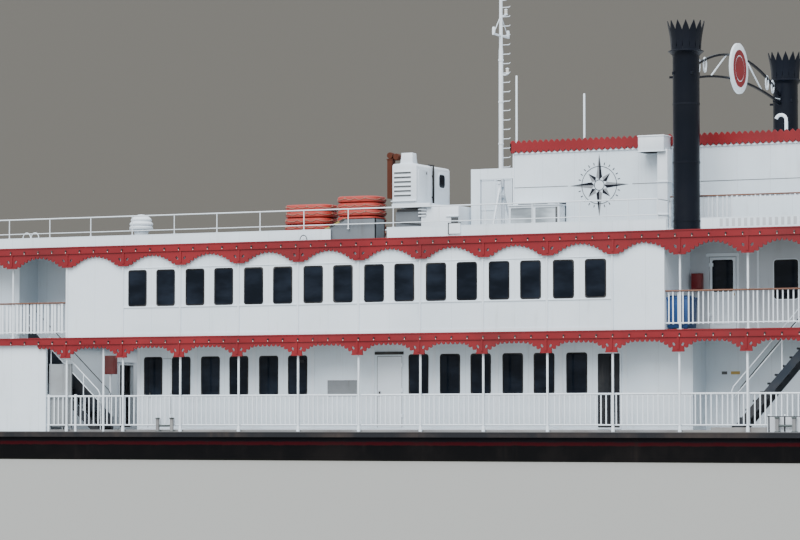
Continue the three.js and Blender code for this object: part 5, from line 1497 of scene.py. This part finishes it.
# Loose gear: a blue bin, red boxes, small plates and hoops on the coaming
def makeLooseGear():
    blue, red = Shell(), Shell()
    wedge(blue, (10.78, -4.34, 4.75), (11.34, -3.7, 5.5), -0.03)
    blue.boxes((10.73, 11.38, -4.38, -3.66, 5.5, 5.56), (10.8, 11.31, -4.3, -3.74, 5.56, 5.60),
               *[(x - 0.02, x + 0.02, -4.375, -4.36, 4.85, 5.45) for x in (10.9, 11.06, 11.22)])
    for x in (10.86, 11.26):
        blue.rod((x, -4.3, 4.76), (x, -4.24, 4.76), 0.06, 12)
    makePiece("wasteBin", blue, "binBlue", bevel=0.015)
    red.boxes((10.85, 11.14, -2.76, -2.601, 5.82, 6.25), (-6.98, -6.62, -3.6, -3.45, 3.66, 4.2))
    red.panel(onSide(2.75, starboard), (10.87, 11.12), (5.84, 6.23), 0.02, 0.02)
    red.panel(onSide(3.59, starboard), (-6.95, -6.65), (3.69, 4.17), 0.03, 0.02)
    makePiece("hoseBoxes", red, "boxRed", bevel=0.01)
    stand = Shell().boxes((-6.84, -6.78, -3.54, -3.48, mainFloor, 3.67), (-6.96, -6.66, -3.6, -3.42, mainFloor, 2.02))
    for side in sides:
        for x in (-9.1, -8.82):
            stand.tube([(a, side * 4.46, z) for a, z in arc(x, 7.62, 0.13, 0.15, 0, 180, 10)], 0.014, 6)
    makePiece("gearStands", stand, "whitePaint")
    for name, finish, rows in (
            ("yellowPlates", "yellowPlate", ((-8.6, -8.25, 5.72, 5.8), (11.91, 12.16, 3.54, 3.62))),
            ("darkPlate", "darkGrey", ((11.65, 11.8, 3.54, 3.62), (-8.72, -8.66, 5.73, 5.79)))):
        makeFlat(name, Shell().boxes(*[(x0, x1, -2.612, -narrowWall, *z) for x0, x1, *z in rows]), finish)
    print("loose gear made")

makeLooseGear()

# Hinged doors: panes, beads and handles, each riding on its own door
doors = {
    "door_lounge_starboard": ((11.31, 12.07), (4.76, 6.69), starboard),
    "door_lounge_port": ((11.31, 12.07), (4.76, 6.69), port),
    "door_pilothouse": ((12.4, 13.15), (7.38, 9.35), port),
}

def makeDoors():
    wall, surround = narrowWall, Shell()
    for body, ((x0, x1), (low, high), side) in doors.items():
        bead, glass, metal = Shell(), Shell(), Shell()
        place, latch = onSide(wall, side), x1 - 0.07
        wide, tall = (x0 + 0.03, x1 - 0.03), (low + 0.94, high - 0.03)
        for back in (0, 0.057):
            bead.panel(onSide(wall - back, side), wide, tall, 0.05, 0.012, 0.052, 0.06)
        for z in ((low + 0.12, low + 0.42), (low + 0.48, low + 0.86)):
            bead.panel(place, (x0 + 0.13, x1 - 0.13), z, 0.03, 0.008, 0.025, 0.015)
        glass.panel(place, (x0 + 0.07, latch), (low + 0.98, high - 0.07), 0.03, 0.006)
        metal.panel(place, (latch - 0.025, latch + 0.025), (low + 0.88, low + 1.08), 0.02, 0.008)
        at = lambda x, out, z: (latch + x, side * (wall + out), low + z)
        metal.rod(at(0, 0, 1.02), at(0, 0.055, 1.02), 0.01, 10)
        metal.tube([at(0.005, 0.05, 1.02), at(-0.06, 0.054, 1.02), at(-0.13, 0.045, 1.015)], 0.009, 8)
        turn = Matrix.Rotation(-side * right, 4, "X")
        metal.turned([(0, 0), (0.012, 0), (0.009, 0.006), (0, 0.006)], at(0, 0.008, 0.92), 12, turn)
        makeFlat(f"{body}_beads", bead, "whitePaint", body=body)
        makeFlat(f"{body}_pane", glass, "windowGlass", body=body)
        makePiece(f"{body}_handle", metal, "brassFinish", body=body)
        for start, end, out, *z in (
                (x0 - 0.09, x1 + 0.09, 0.02, high + 0.012, high + 0.075),
                (x1 + 0.012, x1 + 0.08, 0.018, low, high + 0.012),
                (x0 - 0.05, x1 + 0.07, 0.035, high + 0.075, high + 0.095)):
            surround.box((start, end), (side * wall, side * (wall + out)), z)
    makeFlat("doorSurrounds", surround, "whitePaint")
    print("doors made")

makeDoors()

# Wheel: iron straps and bolts on the boards, tie bars between the spokes, hub flanges; bearings on the beams
wheel = {
    "x": -20.1, "z": 3.0, "boards": 12, "reach": 2.12, "frames": (-2.85, 0.0, 2.85),
    "sleeves": (-3.2, -2.0, -0.9, 0.9, 2.0, 3.2),
    "beam": [(-15.32, 2.46), (-19.3, 2.79), (-19.78, 3.28), (-19.85, 3.28)],
}

def boltHead(x, y, z, height):
    # Points and faces of a bolt head that stands along y
    points = [(a, y + up, b) for up in (0, height) for a, b in circle(x, z, 0.016, 6)]
    return points, [tuple(range(6)), tuple(range(11, 5, -1)), *quads(2, 6)]

def makeWheel():
    x, z, boards, middle = wheel["x"], wheel["z"], wheel["boards"], wheel["reach"]
    straps, planks, ties, hubs, blocks = (Shell() for number in range(5))
    for y in wheel["frames"]:
        for side in sides:
            straps.box((-0.28, 0.25), (side * 0.026, side * 0.034), (y - 0.06, y + 0.06))
            for radial in (-0.22, -0.06, 0.1, 0.2):
                for along in (-0.035, 0.035):
                    straps.take(*boltHead(radial, side * 0.034, y + along, side * 0.014))
        for reach in (1.15, 1.75):
            a, b = polar(reach, 2 * math.pi / boards)
            for out in (y - 0.05, y + 0.05):
                ties.bar((reach - middle, 0, out), (a - middle, b, out), 0.02, 0.07)
    for side in sides:
        for radial in (-0.27, -0.09, 0.09):
            planks.box((radial, radial + 0.17), (side * 0.0255, side * 0.031), (-3.06, 3.06))
    turned = {"Count": boards, "Radius": middle, "AxisTurn": (right, 0, 0), "Centre": (x, 0, z)}
    for name, shape, finish in (("wheelStraps", straps, "ironPaint"), ("wheelPlanks", planks, "wheelPaint"),
                                ("wheelTies", ties, "wheelPaint")):
        grown(name, ringTree, shape, finish, body="wheel", smooth=False, common=turned)
    turn = Matrix.Rotation(right, 4, "X")
    for y in wheel["frames"]:
        for side in sides:
            hubs.hoop(0.16, 0.4, (0, -side * 0.03), (x, y + side * 0.11, z), 32, turn)
    for y in wheel["sleeves"]:
        hubs.hoop(0.121, 0.15, (-0.05, 0.05), (x, y, z), 24, turn)
    makePiece("wheelHubs", hubs, "ironPaint", body="wheel")
    bolt = Shell().turned([(0, 0.03), (0.02, 0.025), (0.025, 0), (0, 0)], corners=6)
    bolts = [{"Count": 12, "Radius": 0.33, "Centre": (x, y + side * 0.14, z), "AxisTurn": (-side * right, 0, 0)}
             for y in wheel["frames"] for side in sides]
    grown("wheelBolts", ringTree, bolt, "ironPaint", body="wheel", smooth=False, runs=bolts)
    beam = wheel["beam"]
    for side in sides:
        out = (side * 3.22, side * 3.55)
        for height in ((2.8, 2.86), (3.14, 3.3)):
            blocks.box((x - 0.3, x + 0.3), out, height)
        for low in (x - 0.26, x + 0.17):
            blocks.box((low, low + 0.09), out, (2.86, 3.14))
            blocks.rod((low + 0.045, side * 3.38, 3.3), (low + 0.045, side * 3.38, 3.36), 0.03, 8)
        for y in (side * 3.26, side * 3.49):
            for (x0, z0), (x1, z1) in zip(beam, beam[1:]):
                blocks.bar((x0, y, z0), (x1, y, z1), 0.09, 0.02)
    makeFlat("bearingBlocks", blocks, "whitePaint")
    print("wheel made")

makeWheel()

# Bollard heads, capstan, deck edge pipe and rubbing strake, rudder ribs
deckEdge = {
    "bollards": ((-4.4, 4.535), (14.1, 4.535), (19.3, 2.6), (-16.9, 4.2)), "capstan": 20.3,
    "line": [(-17.4, 4.58), (14.75, 4.58), (17.15, 4.28), (19.15, 3.53), (20.95, 2.33), (22.05, 1.18), (22.5, 0.43)],
}

def makeDeckDetails():
    heads, strake = Shell(), Shell()
    cap = [(0.0, 2.36), (0.068, 2.36), (0.072, 2.375), (0.068, 2.395), (0, 2.402)]
    foot = [(0.055, mainFloor), (0.085, mainFloor), (0.085, 2.02), (0.055, 2.04)]
    for side in sides:
        for x, y in deckEdge["bollards"]:
            for at in (x - 0.23, x + 0.23):
                heads.turned(cap, (at, side * y, 0), 16)
                heads.turned(foot, (at, side * min(y, 4.51), 0), 16)
            heads.rod((x - 0.23, side * y, 2.17), (x + 0.23, side * y, 2.17), 0.03, 10)
    x = deckEdge["capstan"]
    for profile in (
            [(0, 2.64), (0.3, 2.64), (0.33, 2.67), (0.33, 2.72), (0.28, 2.76), (0.1, 2.78), (0, 2.78)],
            [(0.26, mainFloor), (0.36, mainFloor), (0.36, 2.05), (0.3, 2.1), (0.26, 2.1)]):
        heads.turned(profile, (x, 0, 0), 32)
    for point in circle(x, 0, 0.265, 8):
        heads.bar((*point, 2.1), (*point, 2.62), 0.05)
    makePiece("mooringGear", heads, "ironPaint")
    line = deckEdge["line"]
    for a, b in zip(line, line[1:]):
        strake.bar((*a, 1.985), (*b, 1.985), 0.05)
        strake.bar((*a, 1.87), (*b, 1.87), 0.05, 0.03)
    # Low kerb under the railing
    strake.boxes((-8.36, 12.0, 4.38, 4.41, mainFloor, 2.06), (12.0, 15.17, 4.38, 4.41, mainFloor, 2.13))
    makeFlat("deckEdge", strake.mirror(), "guardPaint")
    for side, called in sides.items():
        y = side * 1.8
        ribs = Shell().boxes(*[(-17.09, -15.72, y - 0.055, y + 0.055, z, z + 0.04) for z in (0.3, 0.62, 0.94)])
        makeFlat(f"rudderRibs_{called}", ribs, "hullPaint", body=f"rudder_blade_{called}")
    print("deck details made")

makeDeckDetails()

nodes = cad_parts
finishNodes("hullPaint", "hull", "rudder_starboard", "rudder_port")
finishNodes("guardPaint", "main_deck")
finishNodes("deckPaint", "top_deck", *[name for name in nodes if name.startswith("upper_deck")])
wallEnds = ("_walls", "_wall_", "side_screen")
finishNodes("wallPaint", *[name for name in nodes if any(end in name for end in wallEnds)])
# The lounge walls take the darker grey, partly painted shade of their recess
finishNodes("innerPaint", "lounge_walls")
finishNodes("ironPaint", "engine_block")
finishNodes("whitePaint", *[name for name in nodes if "door" in name and "walls" not in name])
finishNodes("whitePaint", "duct", "mast_tabernacle", "mast", "machinery_housing", "vent_cowl", "wheel_beam_starboard",
            "wheel_beam_port")
finishNodes("floatOrange", "life_floats")
finishNodes("greyPaint", "boarding_ramp")
finishNodes("wheelPaint", "paddle_wheel")
print("solids finished")
